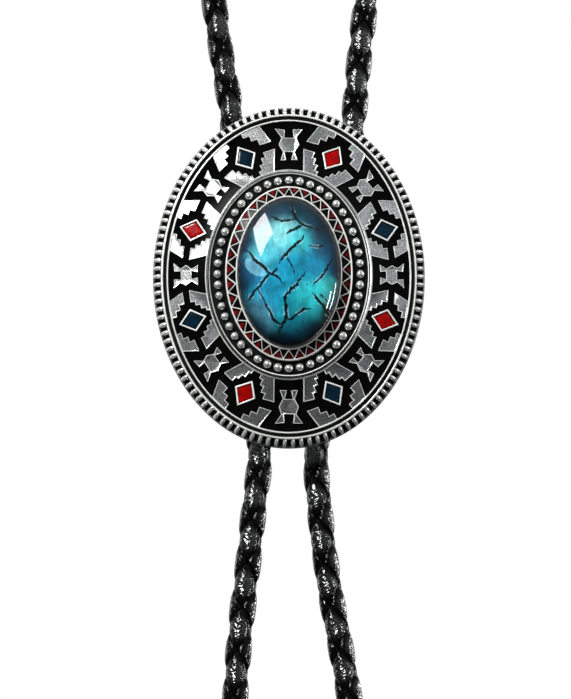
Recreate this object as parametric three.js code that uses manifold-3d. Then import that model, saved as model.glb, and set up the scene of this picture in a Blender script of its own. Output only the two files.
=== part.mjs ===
// Bolo tie: an oval cast slide with a stone, enamelled diamonds and raised ornament, worn on a braided
// leather cord. Millimetres, +Z up, the slide faces -Y. The origin is at the nape of the neck, where the
// cord sits, and everything hangs from there.

import * as THREE from 'three';
import { mergeVertices } from 'three/addons/utils/BufferGeometryUtils.js';
import Module from 'manifold-3d';

const wasm = await Module();
wasm.setup();

// Driving dimensions

const gap = 0.3;                    // clear space between pieces that touch on the real one

// The slide hangs this far below the nape and in front of it, to the middle of its flat back
const slideDrop = 300;
const slideForward = 140;

// The stone, and the widths of the rings around it, at the sides and at the ends of the oval
const stoneHalfWidth = 8.3;
const stoneHalfHeight = 12.3;
const triangleRingWidth = 2.0;
const beadChannelSide = 2.45;
const beadChannelEnd = 2.15;
const collarWidth = 0.8;
const bandSide = 5.95;
const bandEnd = 8.2;
const lineWidth = 0.3;              // the thin raised line around the band
const grooveWidth = 0.55;           // the groove between that line and the rim
const rimSlope = 1.25;              // how far the ribbed wall leans out, from the rim down to its foot

// Depths, forward of the slide's flat back
const rimDepth = 3.2;
const grooveDepth = 0.4;            // below the rim
const collarDepth = 4.5;
const collarCrown = 0.35;
const beadFloorDepth = 4.4;
const triangleFootDepth = 5.5;
const bezelDepth = 6.4;
const seatDepth = 4.6;
const stoneDomeHeight = 3.6;        // above the bezel's top edge
const reliefHeight = 0.4;           // of the ornament, above the dark ground
const settle = 0.07;                // how far the ornament lies below the edges that it runs into
const backChamfer = 0.7;

// Ornament
const bezelWall = 0.35;
const zigzagWidth = 0.32;
const triangleCount = 35;
const beadCount = 48;
const beadRadius = 0.62;
const ribCount = 114;
const ribRelief = 0.35;
const diamondHalfLength = 2.3;
const diamondHalfWidth = 1.85;
const diamondFrame = 0.36;
const enamelThickness = 0.5;
const figureHalfWidth = 1.9;

// The cord, the clip that holds it, and the tips
const cordDiameter = 4.3;
const clipWall = 1.1;
const clipHeight = 16;
const clipCorner = 2.4;
const leftCordMid = -7.07;          // where each cord crosses the middle height of the slide
const rightCordMid = 7.57;
const leftCordLean = 0.082;         // sideways travel for each millimetre of height inside the clip
const rightCordLean = 0.112;
const tipLength = 32;
const tipWall = 0.55;
const tipSocket = 7;                // how far the cord runs into the tip
const tipPoint = 1.3;               // radius of the rounded end

const cordRadius = cordDiameter / 2;
const clipDepth = 2 * (clipWall + gap + cordRadius);
const slideBack = -slideForward;
const cordY = slideBack + gap + clipDepth / 2;

// Materials

const silver = () => new THREE.MeshStandardMaterial({ color: 0x9b9d9b, roughness: 0.38, metalness: 1.0 });
const steel = () => new THREE.MeshStandardMaterial({ color: 0xb4b6b8, roughness: 0.3, metalness: 1.0 });
const glassStone = () => new THREE.MeshStandardMaterial({ color: 0x1c6f86, roughness: 0.08, metalness: 0.0 });
const redEnamel = () => new THREE.MeshStandardMaterial({ color: 0xc4201d, roughness: 0.2, metalness: 0.0 });
const blueEnamel = () => new THREE.MeshStandardMaterial({ color: 0x12324d, roughness: 0.2, metalness: 0.0 });
const leather = () => new THREE.MeshStandardMaterial({ color: 0x17130f, roughness: 0.5, metalness: 0.0 });

// Ovals around the stone, from the inside out; side and end are the half width and the half height

const oval = (side, end) => ({ side, end });
const wider = (ring, side, end = side) => oval(ring.side + side, ring.end + end);
const stoneOval = oval(stoneHalfWidth, stoneHalfHeight);
const bezelInner = wider(stoneOval, gap);
const bezelOuter = wider(bezelInner, bezelWall);
const triangleOval = wider(stoneOval, triangleRingWidth);
const collarInner = wider(triangleOval, beadChannelSide, beadChannelEnd);
const collarOuter = wider(collarInner, collarWidth);
const bandOuter = wider(collarOuter, bandSide, bandEnd);
const lineOuter = wider(bandOuter, lineWidth);
const rimInner = wider(lineOuter, grooveWidth);
const rimOval = wider(rimInner, lineWidth);
const wallFoot = wider(rimOval, rimSlope);
const bandMiddle = wider(collarOuter, bandSide / 2, bandEnd / 2);

// A point of the slide from its place across the face and its depth forward of the back
const place = (x, z, depth) => new THREE.Vector3(x, slideBack - depth, z - slideDrop);

// Meshes from points and triangles, and joins of them

function closedMesh(points, triangles) {
  const geometry = new THREE.BufferGeometry();
  const numbers = points.flatMap((p) => [p.x, p.y, p.z]);
  geometry.setAttribute('position', new THREE.Float32BufferAttribute(numbers, 3));
  geometry.setIndex(triangles.flat());
  return geometry;
}

function solidOf(geometry) {
  const bare = geometry.clone();
  bare.deleteAttribute('normal');
  bare.deleteAttribute('uv');
  const merged = mergeVertices(bare, 1e-4);
  return new wasm.Manifold(new wasm.Mesh({
    numProp: 3,
    vertProperties: new Float32Array(merged.attributes.position.array),
    triVerts: new Uint32Array(merged.index.array),
  }));
}

function geometryOf(solid) {
  const mesh = solid.getMesh();
  const geometry = new THREE.BufferGeometry();
  geometry.setAttribute('position', new THREE.Float32BufferAttribute(mesh.vertProperties, 3));
  geometry.setIndex(Array.from(mesh.triVerts));
  geometry.computeVertexNormals();
  return geometry;
}

function named(name, geometry, material) {
  const mesh = new THREE.Mesh(geometry, material);
  mesh.name = name;
  return mesh;
}

// An oval solid from rows of { ring, depth, angles, lift }, laid from the middle of its back to the middle
// of its front. Angles are the corners' places round the oval, and lift moves each one outwards.
function ovalSolid(rows, backDepth, frontDepth) {
  const points = [place(0, 0, backDepth)];
  const triangles = [];
  const starts = rows.map(({ ring, depth, angles, lift = () => 0 }) => {
    angles.forEach((angle, i) => {
      const out = lift(i);
      points.push(place((ring.side + out) * Math.cos(angle), (ring.end + out) * Math.sin(angle), depth));
    });
    return points.length - angles.length;
  });
  points.push(place(0, 0, frontDepth));
  const last = points.length - 1;
  rows.forEach(({ angles }, row) => {
    for (let i = 0; i < angles.length; i += 1) {
      const here = starts[row] + i;
      const next = starts[row] + ((i + 1) % angles.length);
      if (row === 0) triangles.push([0, next, here]);
      if (row === rows.length - 1) triangles.push([last, here, next]);
    }
    if (row > 0) triangles.push(...stitched(rows[row - 1].angles, starts[row - 1], angles, starts[row]));
  });
  return closedMesh(points, triangles);
}

// Triangles between two rows of corners, which may differ in number
function stitched(lowAngles, lowStart, highAngles, highStart) {
  const turn = 2 * Math.PI;
  const at = (angles, i) => (i < angles.length ? angles[i] : angles[0] + turn);
  const triangles = [];
  let i = 0;
  let j = 0;
  while (i < lowAngles.length || j < highAngles.length) {
    const low = lowStart + (i % lowAngles.length);
    const high = highStart + (j % highAngles.length);
    const lowIsNext = i < lowAngles.length
      && (j >= highAngles.length || at(lowAngles, i + 1) <= at(highAngles, j + 1));
    if (lowIsNext) {
      i += 1;
      triangles.push([low, lowStart + (i % lowAngles.length), high]);
    } else {
      j += 1;
      triangles.push([low, highStart + (j % highAngles.length), high]);
    }
  }
  return triangles;
}

const evenAngles = (count) => Array.from({ length: count }, (_, i) => (2 * Math.PI * i) / count);

// The band of ornament: a place along it is an angle of the oval, and a place across it runs from -1 at
// the collar to +1 at the outer line, straight out from the middle of the band.

function acrossBand(angle, across) {
  const base = { x: bandMiddle.side * Math.cos(angle), z: bandMiddle.end * Math.sin(angle) };
  const slope = new THREE.Vector2(Math.cos(angle) / bandMiddle.side, Math.sin(angle) / bandMiddle.end);
  slope.normalize();
  const limit = across > 0 ? bandOuter : collarOuter;
  const a = (slope.x / limit.side) ** 2 + (slope.y / limit.end) ** 2;
  const b = (base.x * slope.x) / limit.side ** 2 + (base.z * slope.y) / limit.end ** 2;
  const c = (base.x / limit.side) ** 2 + (base.z / limit.end) ** 2 - 1;
  const reach = Math.abs((-b + Math.sqrt(b * b - a * c)) / a);
  return { x: base.x + slope.x * across * reach, z: base.z + slope.y * across * reach, reach };
}

// How fast the middle of the band passes by, in millimetres for each radian of the oval's angle
const bandPace = (angle) => Math.hypot(bandMiddle.side * Math.sin(angle), bandMiddle.end * Math.cos(angle));

const faceDepth = (across) => THREE.MathUtils.lerp(collarDepth, rimDepth, (across + 1) / 2);

// A raised piece of ornament: its outline is a list of { x, z, across }, anticlockwise seen from the front
function raised(outline, top = -settle, thickness = 2 * reliefHeight) {
  const flat = outline.map((p) => new THREE.Vector2(p.x, p.z));
  if (THREE.ShapeUtils.isClockWise(flat)) {
    flat.reverse();
    outline = [...outline].reverse();
  }
  const count = outline.length;
  const front = outline.map((p) => place(p.x, p.z, faceDepth(p.across) + top));
  const back = outline.map((p) => place(p.x, p.z, faceDepth(p.across) + top - thickness));
  const triangles = [];
  for (const [i, j, k] of THREE.ShapeUtils.triangulateShape(flat, [])) {
    triangles.push([i, j, k], [count + i, count + k, count + j]);
  }
  for (let i = 0; i < count; i += 1) {
    const next = (i + 1) % count;
    triangles.push([i, count + i, count + next], [i, count + next, next]);
  }
  return closedMesh([...front, ...back], triangles);
}

const outlineOf = (rows, angleAt) => rows.map(([along, across]) => {
  const { x, z } = acrossBand(angleAt(along), across);
  return { x, z, across };
});

// Where the figures and the diamonds sit, as angles of the oval in one quarter
const quarter = Math.PI / 2;
const figureAngles = [0, 42, 90].map(THREE.MathUtils.degToRad);
const diamondAngles = [20.3, 64.6].map(THREE.MathUtils.degToRad);

// Right half of a figure: along is a share of its half width, across a share of the band's half width
const figureHalf = [
  // along, across
  [0.38, 0.32], [0.3, 0.66], [1.0, 0.73], [0.59, 0.34], [0.85, 0.05],
  [0.55, -0.27], [0.92, -0.6], [0.24, -0.6], [0.38, -0.26],
];

// Stepped pieces beside a diamond: along is a share of the way from the diamond to the next figure
const outerSteps = [
  // along, across
  [0.16, 1.04], [0.16, 0.76], [0.27, 0.76], [0.27, 0.51], [0.385, 0.51], [0.385, 0.25], [0.64, 0.25],
  [0.49, 1.04],
];
const innerSteps = [
  // along, across
  [0.4, -0.1], [0.4, -0.33], [0.31, -0.33], [0.31, -0.58], [0.21, -0.58], [0.21, -0.82], [0.12, -0.82],
  [0.12, -1.04], [0.53, -1.04], [0.67, -0.1],
];

// Mirrors that carry the right upper quarter round the oval
const mirrors = [[1, 1], [-1, 1], [-1, -1], [1, -1]];
const mirrored = (outline, [side, end]) => outline.map((p) => ({ ...p, x: p.x * side, z: p.z * end }));

// A figure stands on each axis of the oval and in each quarter between the diamonds
function figureOutline(angle) {
  const whole = [...figureHalf, ...figureHalf.map(([along, across]) => [-along, across]).reverse()];
  return outlineOf(whole, (along) => angle + (along * figureHalfWidth) / bandPace(angle));
}

function figures() {
  const [side, slanting, end] = figureAngles.map(figureOutline);
  return [
    side, mirrored(side, [-1, 1]), end, mirrored(end, [1, -1]),
    ...mirrors.map((turn) => mirrored(slanting, turn)),
  ].map((outline) => raised(outline));
}

function steppedPieces() {
  const pieces = [];
  const spans = [[0, 0], [0, 1], [1, 1], [1, 2]].map(([d, f]) => [diamondAngles[d], figureAngles[f]]);
  for (const [from, to] of spans) {
    for (const rows of [outerSteps, innerSteps]) {
      const outline = outlineOf(rows, (along) => THREE.MathUtils.lerp(from, to, along));
      for (const turn of mirrors) pieces.push(raised(mirrored(outline, turn)));
    }
  }
  return pieces;
}

// A diamond's outline, its long way straight across the band, let in by inset on every side
function diamondOutline(angle, inset, turn) {
  const shrink = 1 - (inset * Math.hypot(1 / diamondHalfWidth, 1 / diamondHalfLength));
  const { reach } = acrossBand(angle, 1);
  const length = (shrink * diamondHalfLength) / reach;
  const rows = [[0, length], [shrink, 0], [0, -length], [-shrink, 0]];
  const outline = outlineOf(rows, (along) => angle + (along * diamondHalfWidth) / bandPace(angle));
  return mirrored(outline, turn);
}

const diamondPlaces = diamondAngles.flatMap((angle) => mirrors.map((turn) => ({ angle, turn })));

// The stone's zigzag: one thin raised strip that runs up and down between the bezel and the bead channel
function zigzag() {
  const half = zigzagWidth * 0.8;   // measured straight out, across a strip that slants
  const ends = [
    { ring: wider(triangleOval, -lineWidth / 2 - half), depth: triangleFootDepth },
    { ring: wider(bezelOuter, half - bezelWall / 2), depth: bezelDepth - settle },
  ];
  const count = 2 * triangleCount;
  const points = [];
  for (let i = 0; i < count; i += 1) {
    const angle = quarter + (i * Math.PI) / triangleCount;
    const { ring, depth } = ends[i % 2];
    for (const [out, drop] of [[half, 0], [-half, 0], [half, 2 * reliefHeight], [-half, 2 * reliefHeight]]) {
      const { side, end } = wider(ring, out);
      points.push(place(side * Math.cos(angle), end * Math.sin(angle), depth - drop));
    }
  }
  const sides = [[0, 1], [1, 3], [3, 2], [2, 0]];
  const triangles = [];
  for (let i = 0; i < count; i += 1) {
    const here = 4 * i;
    const next = 4 * ((i + 1) % count);
    for (const [p, q] of sides) {
      triangles.push([here + p, next + p, next + q], [here + p, next + q, here + q]);
    }
  }
  return closedMesh(points, triangles);
}

// Half-round beads in the channel around the stone
function beads() {
  const ring = wider(triangleOval, beadChannelSide / 2, beadChannelEnd / 2);
  const spots = evenly(ring, beadCount, 0.5);
  const profile = [[0, -0.5], [1, -0.5], [1, 0.4], [0.72, 0.95], [0, 1.25]]
    .map(([out, up]) => new THREE.Vector2(out * beadRadius, up * beadRadius));
  return spots.map(({ x, z }) => {
    const bead = new THREE.LatheGeometry(profile, 6);
    bead.rotateX(-quarter);
    const spot = place(x, z, beadFloorDepth);
    bead.translate(spot.x, spot.y, spot.z);
    return bead;
  });
}

// Spots at equal steps along an oval, the first one off the right end by a share of a step
function evenly(ring, count, start) {
  const samples = 720;
  const lengths = [0];
  const at = (i) => {
    const angle = (2 * Math.PI * i) / samples;
    return new THREE.Vector2(ring.side * Math.cos(angle), ring.end * Math.sin(angle));
  };
  for (let i = 1; i <= samples; i += 1) lengths.push(lengths[i - 1] + at(i).distanceTo(at(i - 1)));
  const step = lengths[samples] / count;
  const spots = [];
  let i = 1;
  for (let n = 0; n < count; n += 1) {
    const wanted = (n + start) * step;
    while (lengths[i] < wanted) i += 1;
    const share = (wanted - lengths[i - 1]) / (lengths[i] - lengths[i - 1]);
    const spot = at(i - 1).lerp(at(i), share);
    const angle = Math.atan2(spot.y / ring.end, spot.x / ring.side);
    spots.push({ x: spot.x, z: spot.y, angle: angle < -1e-6 ? angle + 2 * Math.PI : angle });
  }
  return spots;
}

// The cast body without its ornament: a leaning wall with round ribs, a stepped dome, and the stone's seat
function slideBody() {
  const ribCorners = evenly(wallFoot, 2 * ribCount, 0).map(({ angle }) => angle);
  const ribbed = (share) => (i) => share * ribRelief * (i % 2 === 0 ? 0.5 : -0.5);
  const wall = [
    // ring, depth, share of the ribs' relief
    [wider(wallFoot, -backChamfer), 0, 0],
    [wallFoot, backChamfer, 1],
    [rimOval, rimDepth - lineWidth / 2, 0.6],
  ].map(([ring, depth, share]) => ({ ring, depth, angles: ribCorners, lift: ribbed(share) }));
  const groundDepth = rimDepth - reliefHeight;
  const dome = [
    // ring, depth
    [wider(rimInner, lineWidth / 2), rimDepth],
    [rimInner, rimDepth - grooveDepth],
    [lineOuter, rimDepth - grooveDepth],
    [lineOuter, rimDepth],
    [bandOuter, rimDepth],
    [bandOuter, groundDepth],
    [collarOuter, collarDepth - reliefHeight],
    [collarOuter, collarDepth],
    [wider(collarInner, collarWidth / 2), collarDepth + collarCrown],
    [collarInner, collarDepth + collarCrown / 2],
    [collarInner, beadFloorDepth],
    [triangleOval, beadFloorDepth],
    [triangleOval, triangleFootDepth],
    [wider(triangleOval, -lineWidth), triangleFootDepth + reliefHeight / 2],
    [wider(triangleOval, -lineWidth), triangleFootDepth - reliefHeight / 2],
    [bezelOuter, bezelDepth - reliefHeight],
    [bezelOuter, bezelDepth],
    [bezelInner, bezelDepth],
    [bezelInner, seatDepth],
  ].map(([ring, depth]) => ({ ring, depth, angles: evenAngles(60) }));
  return ovalSolid([...wall, ...dome], 0, seatDepth);
}

function slide() {
  let solid = solidOf(slideBody());
  for (const piece of [...figures(), ...steppedPieces(), zigzag(), ...beads()]) {
    solid = solid.add(solidOf(piece));
  }
  for (const { angle, turn } of diamondPlaces) {
    solid = solid.add(solidOf(raised(diamondOutline(angle, 0, turn))));
    const inside = diamondOutline(angle, diamondFrame, turn);
    solid = solid.subtract(solidOf(raised(inside, reliefHeight, 2 * reliefHeight + enamelThickness)));
  }
  return geometryOf(solid);
}

// The stone: an oval cabochon with a straight girdle in the bezel and a dome over it
function cabochon() {
  const base = seatDepth + gap;
  const angles = evenAngles(42);
  const rows = [
    { ring: wider(stoneOval, -gap), depth: base, angles },
    { ring: stoneOval, depth: base + gap, angles },
  ];
  const steps = 7;
  for (let i = 0; i < steps; i += 1) {
    const lift = (quarter * i) / steps;
    const ring = oval(stoneHalfWidth * Math.cos(lift), stoneHalfHeight * Math.cos(lift));
    rows.push({ ring, depth: bezelDepth + stoneDomeHeight * Math.sin(lift), angles });
  }
  return ovalSolid(rows, base, bezelDepth + stoneDomeHeight);
}

// Enamel filling one diamond, level with a little below its frame
function enamel({ angle, turn }) {
  const top = -reliefHeight / 4;
  const thickness = enamelThickness + reliefHeight - gap + top;
  return raised(diamondOutline(angle, diamondFrame + gap, turn), top, thickness);
}

// The clip: a rounded bar behind the slide with a slanting channel for each cord
function cordClip() {
  const outer = cordRadius + gap + clipWall;
  const left = leftCordMid - outer;
  const right = rightCordMid + outer;
  const front = slideBack + gap;
  const back = front + clipDepth;
  const outline = new THREE.Shape();
  outline.moveTo(left + clipCorner, front);
  outline.lineTo(right - clipCorner, front);
  outline.absarc(right - clipCorner, front + clipCorner, clipCorner, -quarter, 0);
  outline.absarc(right - clipCorner, back - clipCorner, clipCorner, 0, quarter);
  outline.absarc(left + clipCorner, back - clipCorner, clipCorner, quarter, 2 * quarter);
  outline.absarc(left + clipCorner, front + clipCorner, clipCorner, 2 * quarter, 3 * quarter);
  const settings = { depth: clipHeight, bevelEnabled: false, curveSegments: 6 };
  const bar = new THREE.ExtrudeGeometry(outline, settings);
  bar.translate(0, 0, -slideDrop - clipHeight / 2);
  let solid = solidOf(bar);
  const channels = [[leftCordMid, -leftCordLean], [rightCordMid, rightCordLean]];
  for (const [mid, lean] of channels) {
    const sides = 20;
    const bore = new THREE.CylinderGeometry(1, 1, 2 * clipHeight, sides);
    const radius = (cordRadius + gap) / Math.cos(Math.PI / sides);
    bore.scale(radius, 1, radius);
    bore.rotateX(quarter);
    bore.rotateY(Math.atan(lean));
    bore.translate(mid, cordY, -slideDrop);
    solid = solid.subtract(solidOf(bore));
  }
  return geometryOf(solid);
}

// Cord routes, points chosen by hand

// The straight run through the clip, from the middle of the slide up or down
const inClip = (mid, lean, height) => [mid + lean * height, cordY, height - slideDrop];
const clipEnds = [gap / 2, clipHeight / 2, clipHeight];
const leftUp = clipEnds.map((height) => inClip(leftCordMid, -leftCordLean, height));
const rightUp = clipEnds.map((height) => inClip(rightCordMid, rightCordLean, height));
const leftDown = clipEnds.map((height) => inClip(leftCordMid, -leftCordLean, -height));
const rightDown = clipEnds.map((height) => inClip(rightCordMid, rightCordLean, -height));

// Near the slide: across, back from the cord's place in the clip, up from the slide's middle
const nearSlide = (rows) => rows.map(([across, back, up]) => [across, cordY + back, up - slideDrop]);
const leftRise = nearSlide([[-9.3, 0.15, 27], [-11.4, 0.75, 40.6], [-14.8, 3.15, 64]]);
const rightRise = nearSlide([[10.6, 0.15, 27], [11.9, 0.75, 40.6], [15.2, 3.15, 64]]);

// Half of the loop round the neck: across, and shares of the slide's distance forward and down
const loopHalf = [
  [21.1, 0.907, 0.687], [29.5, 0.839, 0.573], [39, 0.757, 0.46], [48.5, 0.664, 0.35], [56.5, 0.564, 0.24],
  [61.6, 0.454, 0.142], [61.4, 0.332, 0.07], [53.5, 0.193, 0.027], [37.5, 0.075, 0.006], [19, 0.01, -0.003],
];
const loopSide = (side) => loopHalf.map(([across, forward, down]) => (
  [side * across, -forward * slideForward, -down * slideDrop]));
const nape = [0, cordRadius * Math.SQRT1_2, cordRadius * Math.SQRT1_2];

const neckRoute = [
  ...leftUp, ...leftRise, ...loopSide(-1), nape,
  ...loopSide(1).reverse(), ...[...rightRise].reverse(), ...[...rightUp].reverse(),
];
const leftEndRoute = [...leftDown, ...nearSlide([
  [-4.75, 0.05, -28.8], [-5.6, -0.15, -36.5], [-6.4, -0.25, -44.3], [-7.3, -0.35, -52], [-8.05, -0.35, -59.7],
  [-8.7, -0.35, -68.2], [-9.1, -0.35, -76.5],
])];
const rightEndRoute = [...rightDown, ...nearSlide([
  [4.4, 0.05, -28.8], [4.95, -0.15, -36.5], [5.75, -0.25, -44.3], [6.95, -0.35, -52], [8.4, -0.35, -59.7],
  [9.85, -0.35, -68.2], [11.15, -0.35, -76.5],
])];

function curveThrough(route) {
  return new THREE.CatmullRomCurve3(route.map((p) => new THREE.Vector3(...p)), false, 'centripetal');
}

function cordAlong(route, steps) {
  const sides = 10;
  const section = new THREE.Shape();
  for (let i = 0; i < sides; i += 1) {
    const angle = (2 * Math.PI * i) / sides;
    const spot = [cordRadius * Math.cos(angle), cordRadius * Math.sin(angle)];
    if (i === 0) section.moveTo(...spot);
    else section.lineTo(...spot);
  }
  return new THREE.ExtrudeGeometry(section, { steps, bevelEnabled: false, extrudePath: curveThrough(route) });
}

// A tip: a turned metal cone with a socket for the cord, in line with the cord's last stretch
function tip(route) {
  const socketRadius = cordRadius + gap;
  const mouth = socketRadius + tipWall;
  const depth = tipSocket + gap;
  const profile = [
    // radius, height above the tip's point
    [0, 0], [tipPoint * 0.7, 0.3], [tipPoint, tipPoint], [mouth, tipLength - tipSocket * 1.6],
    [mouth, tipLength], [socketRadius, tipLength], [socketRadius, tipLength - depth], [0, tipLength - depth],
  ].map(([radius, height]) => new THREE.Vector2(radius, height - tipLength + depth));
  const cone = new THREE.LatheGeometry(profile, 12);
  cone.rotateX(quarter);
  const end = new THREE.Vector3(...route[route.length - 1]);
  const before = new THREE.Vector3(...route[route.length - 2]);
  const along = before.clone().sub(end).normalize();
  const turn = new THREE.Quaternion().setFromUnitVectors(new THREE.Vector3(0, 0, 1), along);
  cone.applyQuaternion(turn);
  const seat = end.clone().addScaledVector(along, -gap);
  cone.translate(seat.x, seat.y, seat.z);
  return cone;
}

// The whole tie

const group = new THREE.Group();
group.add(named('slide_casting', slide(), silver()));
group.add(named('stone_cabochon', cabochon(), glassStone()));

// Red and blue alternate round the slide
diamondPlaces.forEach((spot, i) => {
  const near = i < mirrors.length;
  const red = near === (spot.turn[0] * spot.turn[1] < 0);
  const number = 1 + (i % mirrors.length >> 1) + (near ? 0 : 2);
  const name = `${red ? 'red' : 'blue'}_enamel_${number}`;
  group.add(named(name, enamel(spot), red ? redEnamel() : blueEnamel()));
});

group.add(named('cord_clip', cordClip(), steel()));
group.add(named('neck_cord', cordAlong(neckRoute, 66), leather()));
group.add(named('left_cord_end', cordAlong(leftEndRoute, 8), leather()));
group.add(named('right_cord_end', cordAlong(rightEndRoute, 8), leather()));
group.add(named('left_tip', tip(leftEndRoute), steel()));
group.add(named('right_tip', tip(rightEndRoute), steel()));

export default group;
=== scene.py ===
import math
import random

import bmesh
import bpy
import numpy as np
from mathutils import Matrix, Quaternion, Vector


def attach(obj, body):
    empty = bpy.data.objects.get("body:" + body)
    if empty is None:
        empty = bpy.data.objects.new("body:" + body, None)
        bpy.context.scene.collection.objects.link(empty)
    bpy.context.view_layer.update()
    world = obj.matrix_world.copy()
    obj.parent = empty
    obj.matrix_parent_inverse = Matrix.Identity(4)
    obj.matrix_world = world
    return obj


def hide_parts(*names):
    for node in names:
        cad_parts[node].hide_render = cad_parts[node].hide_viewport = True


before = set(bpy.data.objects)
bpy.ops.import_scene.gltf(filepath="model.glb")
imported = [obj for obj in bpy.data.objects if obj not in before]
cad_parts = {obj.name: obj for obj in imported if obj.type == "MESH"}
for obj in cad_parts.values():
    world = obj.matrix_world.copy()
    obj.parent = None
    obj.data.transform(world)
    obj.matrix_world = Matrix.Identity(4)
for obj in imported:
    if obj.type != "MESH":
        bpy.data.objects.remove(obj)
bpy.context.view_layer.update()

MM = 0.001
TURN = 2 * math.pi
QUARTER = math.pi / 2

# The frame's sizes, as the solids have them
SLIDE_DROP = 300.0
SLIDE_FORWARD = 140.0
GAP = 0.3
CORD_DIAMETER = 4.3
CORD_RADIUS = CORD_DIAMETER / 2
CLIP_WALL = 1.1
CLIP_HEIGHT = 16.0
CLIP_CORNER = 2.4
CLIP_DEPTH = 2 * (CLIP_WALL + GAP + CORD_RADIUS)
CORD_Y = -SLIDE_FORWARD + GAP + CLIP_DEPTH / 2
LEFT_MID, LEFT_LEAN = -7.07, -0.082
RIGHT_MID, RIGHT_LEAN = 7.57, 0.112
RIM_DEPTH = 3.2

# The photo's frame and the camera that took it
PHOTO_HEIGHT_PIXELS = 699
MM_PER_PIXEL = 0.1612
VIEW_DISTANCE = 800.0
VIEW_ELEVATION = math.radians(-9)
AIM_ACROSS, AIM_UP = -0.55, -12.06


def place(x, z, depth):
    """A point of the slide from its place across the face and its depth forward of the flat back."""
    return Vector((x, -SLIDE_FORWARD - depth, z - SLIDE_DROP)) * MM


def new_object(name, data):
    made = bpy.data.objects.new(name, data)
    bpy.context.collection.objects.link(made)
    return made


# Camera

def make_camera():
    data = bpy.data.cameras.new("camera")
    camera = new_object("camera", data)
    data.lens = data.sensor_width * VIEW_DISTANCE / (PHOTO_HEIGHT_PIXELS * MM_PER_PIXEL)
    data.clip_start, data.clip_end = 0.05, 20
    back = Vector((0, -math.cos(VIEW_ELEVATION), math.sin(VIEW_ELEVATION)))
    camera.location = place(AIM_ACROSS, AIM_UP, RIM_DEPTH) + back * VIEW_DISTANCE * MM
    camera.rotation_mode = "QUATERNION"
    camera.rotation_quaternion = (-back).to_track_quat("-Z", "Y")
    bpy.context.scene.camera = camera


make_camera()


# Materials

def linear(code):
    """An sRGB hex colour as linear red, green, blue and alpha."""
    parts = [int(code[i:i + 2], 16) / 255 for i in (1, 3, 5)]
    return [p / 12.92 if p <= 0.04045 else ((p + 0.055) / 1.055) ** 2.4 for p in parts] + [1.0]


def add(tree, kind, inputs=None, stops=(), **settings):
    """Adds a node with its settings, and sets or links its inputs by name or number. A node given as an
    input stands for its first output in use. A ramp's stops are a place and a hex colour or a grey level."""
    made = tree.nodes.new(kind)
    for key, value in settings.items():
        setattr(made, key, value)
    for key, value in (inputs or {}).items():
        if isinstance(value, bpy.types.Node):
            value = next(output for output in value.outputs if output.enabled)
        if isinstance(value, bpy.types.NodeSocket):
            tree.links.new(value, made.inputs[key])
        else:
            made.inputs[key].default_value = linear(value) if isinstance(value, str) else value
    for _ in stops[2:]:
        made.color_ramp.elements.new(0.5)
    for stop, (where, colour) in enumerate(stops):
        point = made.color_ramp.elements[stop]
        point.position = where
        point.color = linear(colour) if isinstance(colour, str) else [colour] * 3 + [1.0]
    return made


def new_material(name, surface, **choices):
    """A material whose shader takes the inputs that its surface function gives."""
    made = bpy.data.materials.new(name)
    made.use_nodes = True
    tree = made.node_tree
    tree.nodes.clear()
    shader = add(tree, "ShaderNodeBsdfPrincipled", surface(tree, **choices))
    add(tree, "ShaderNodeOutputMaterial", {"Surface": shader})
    return made


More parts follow.
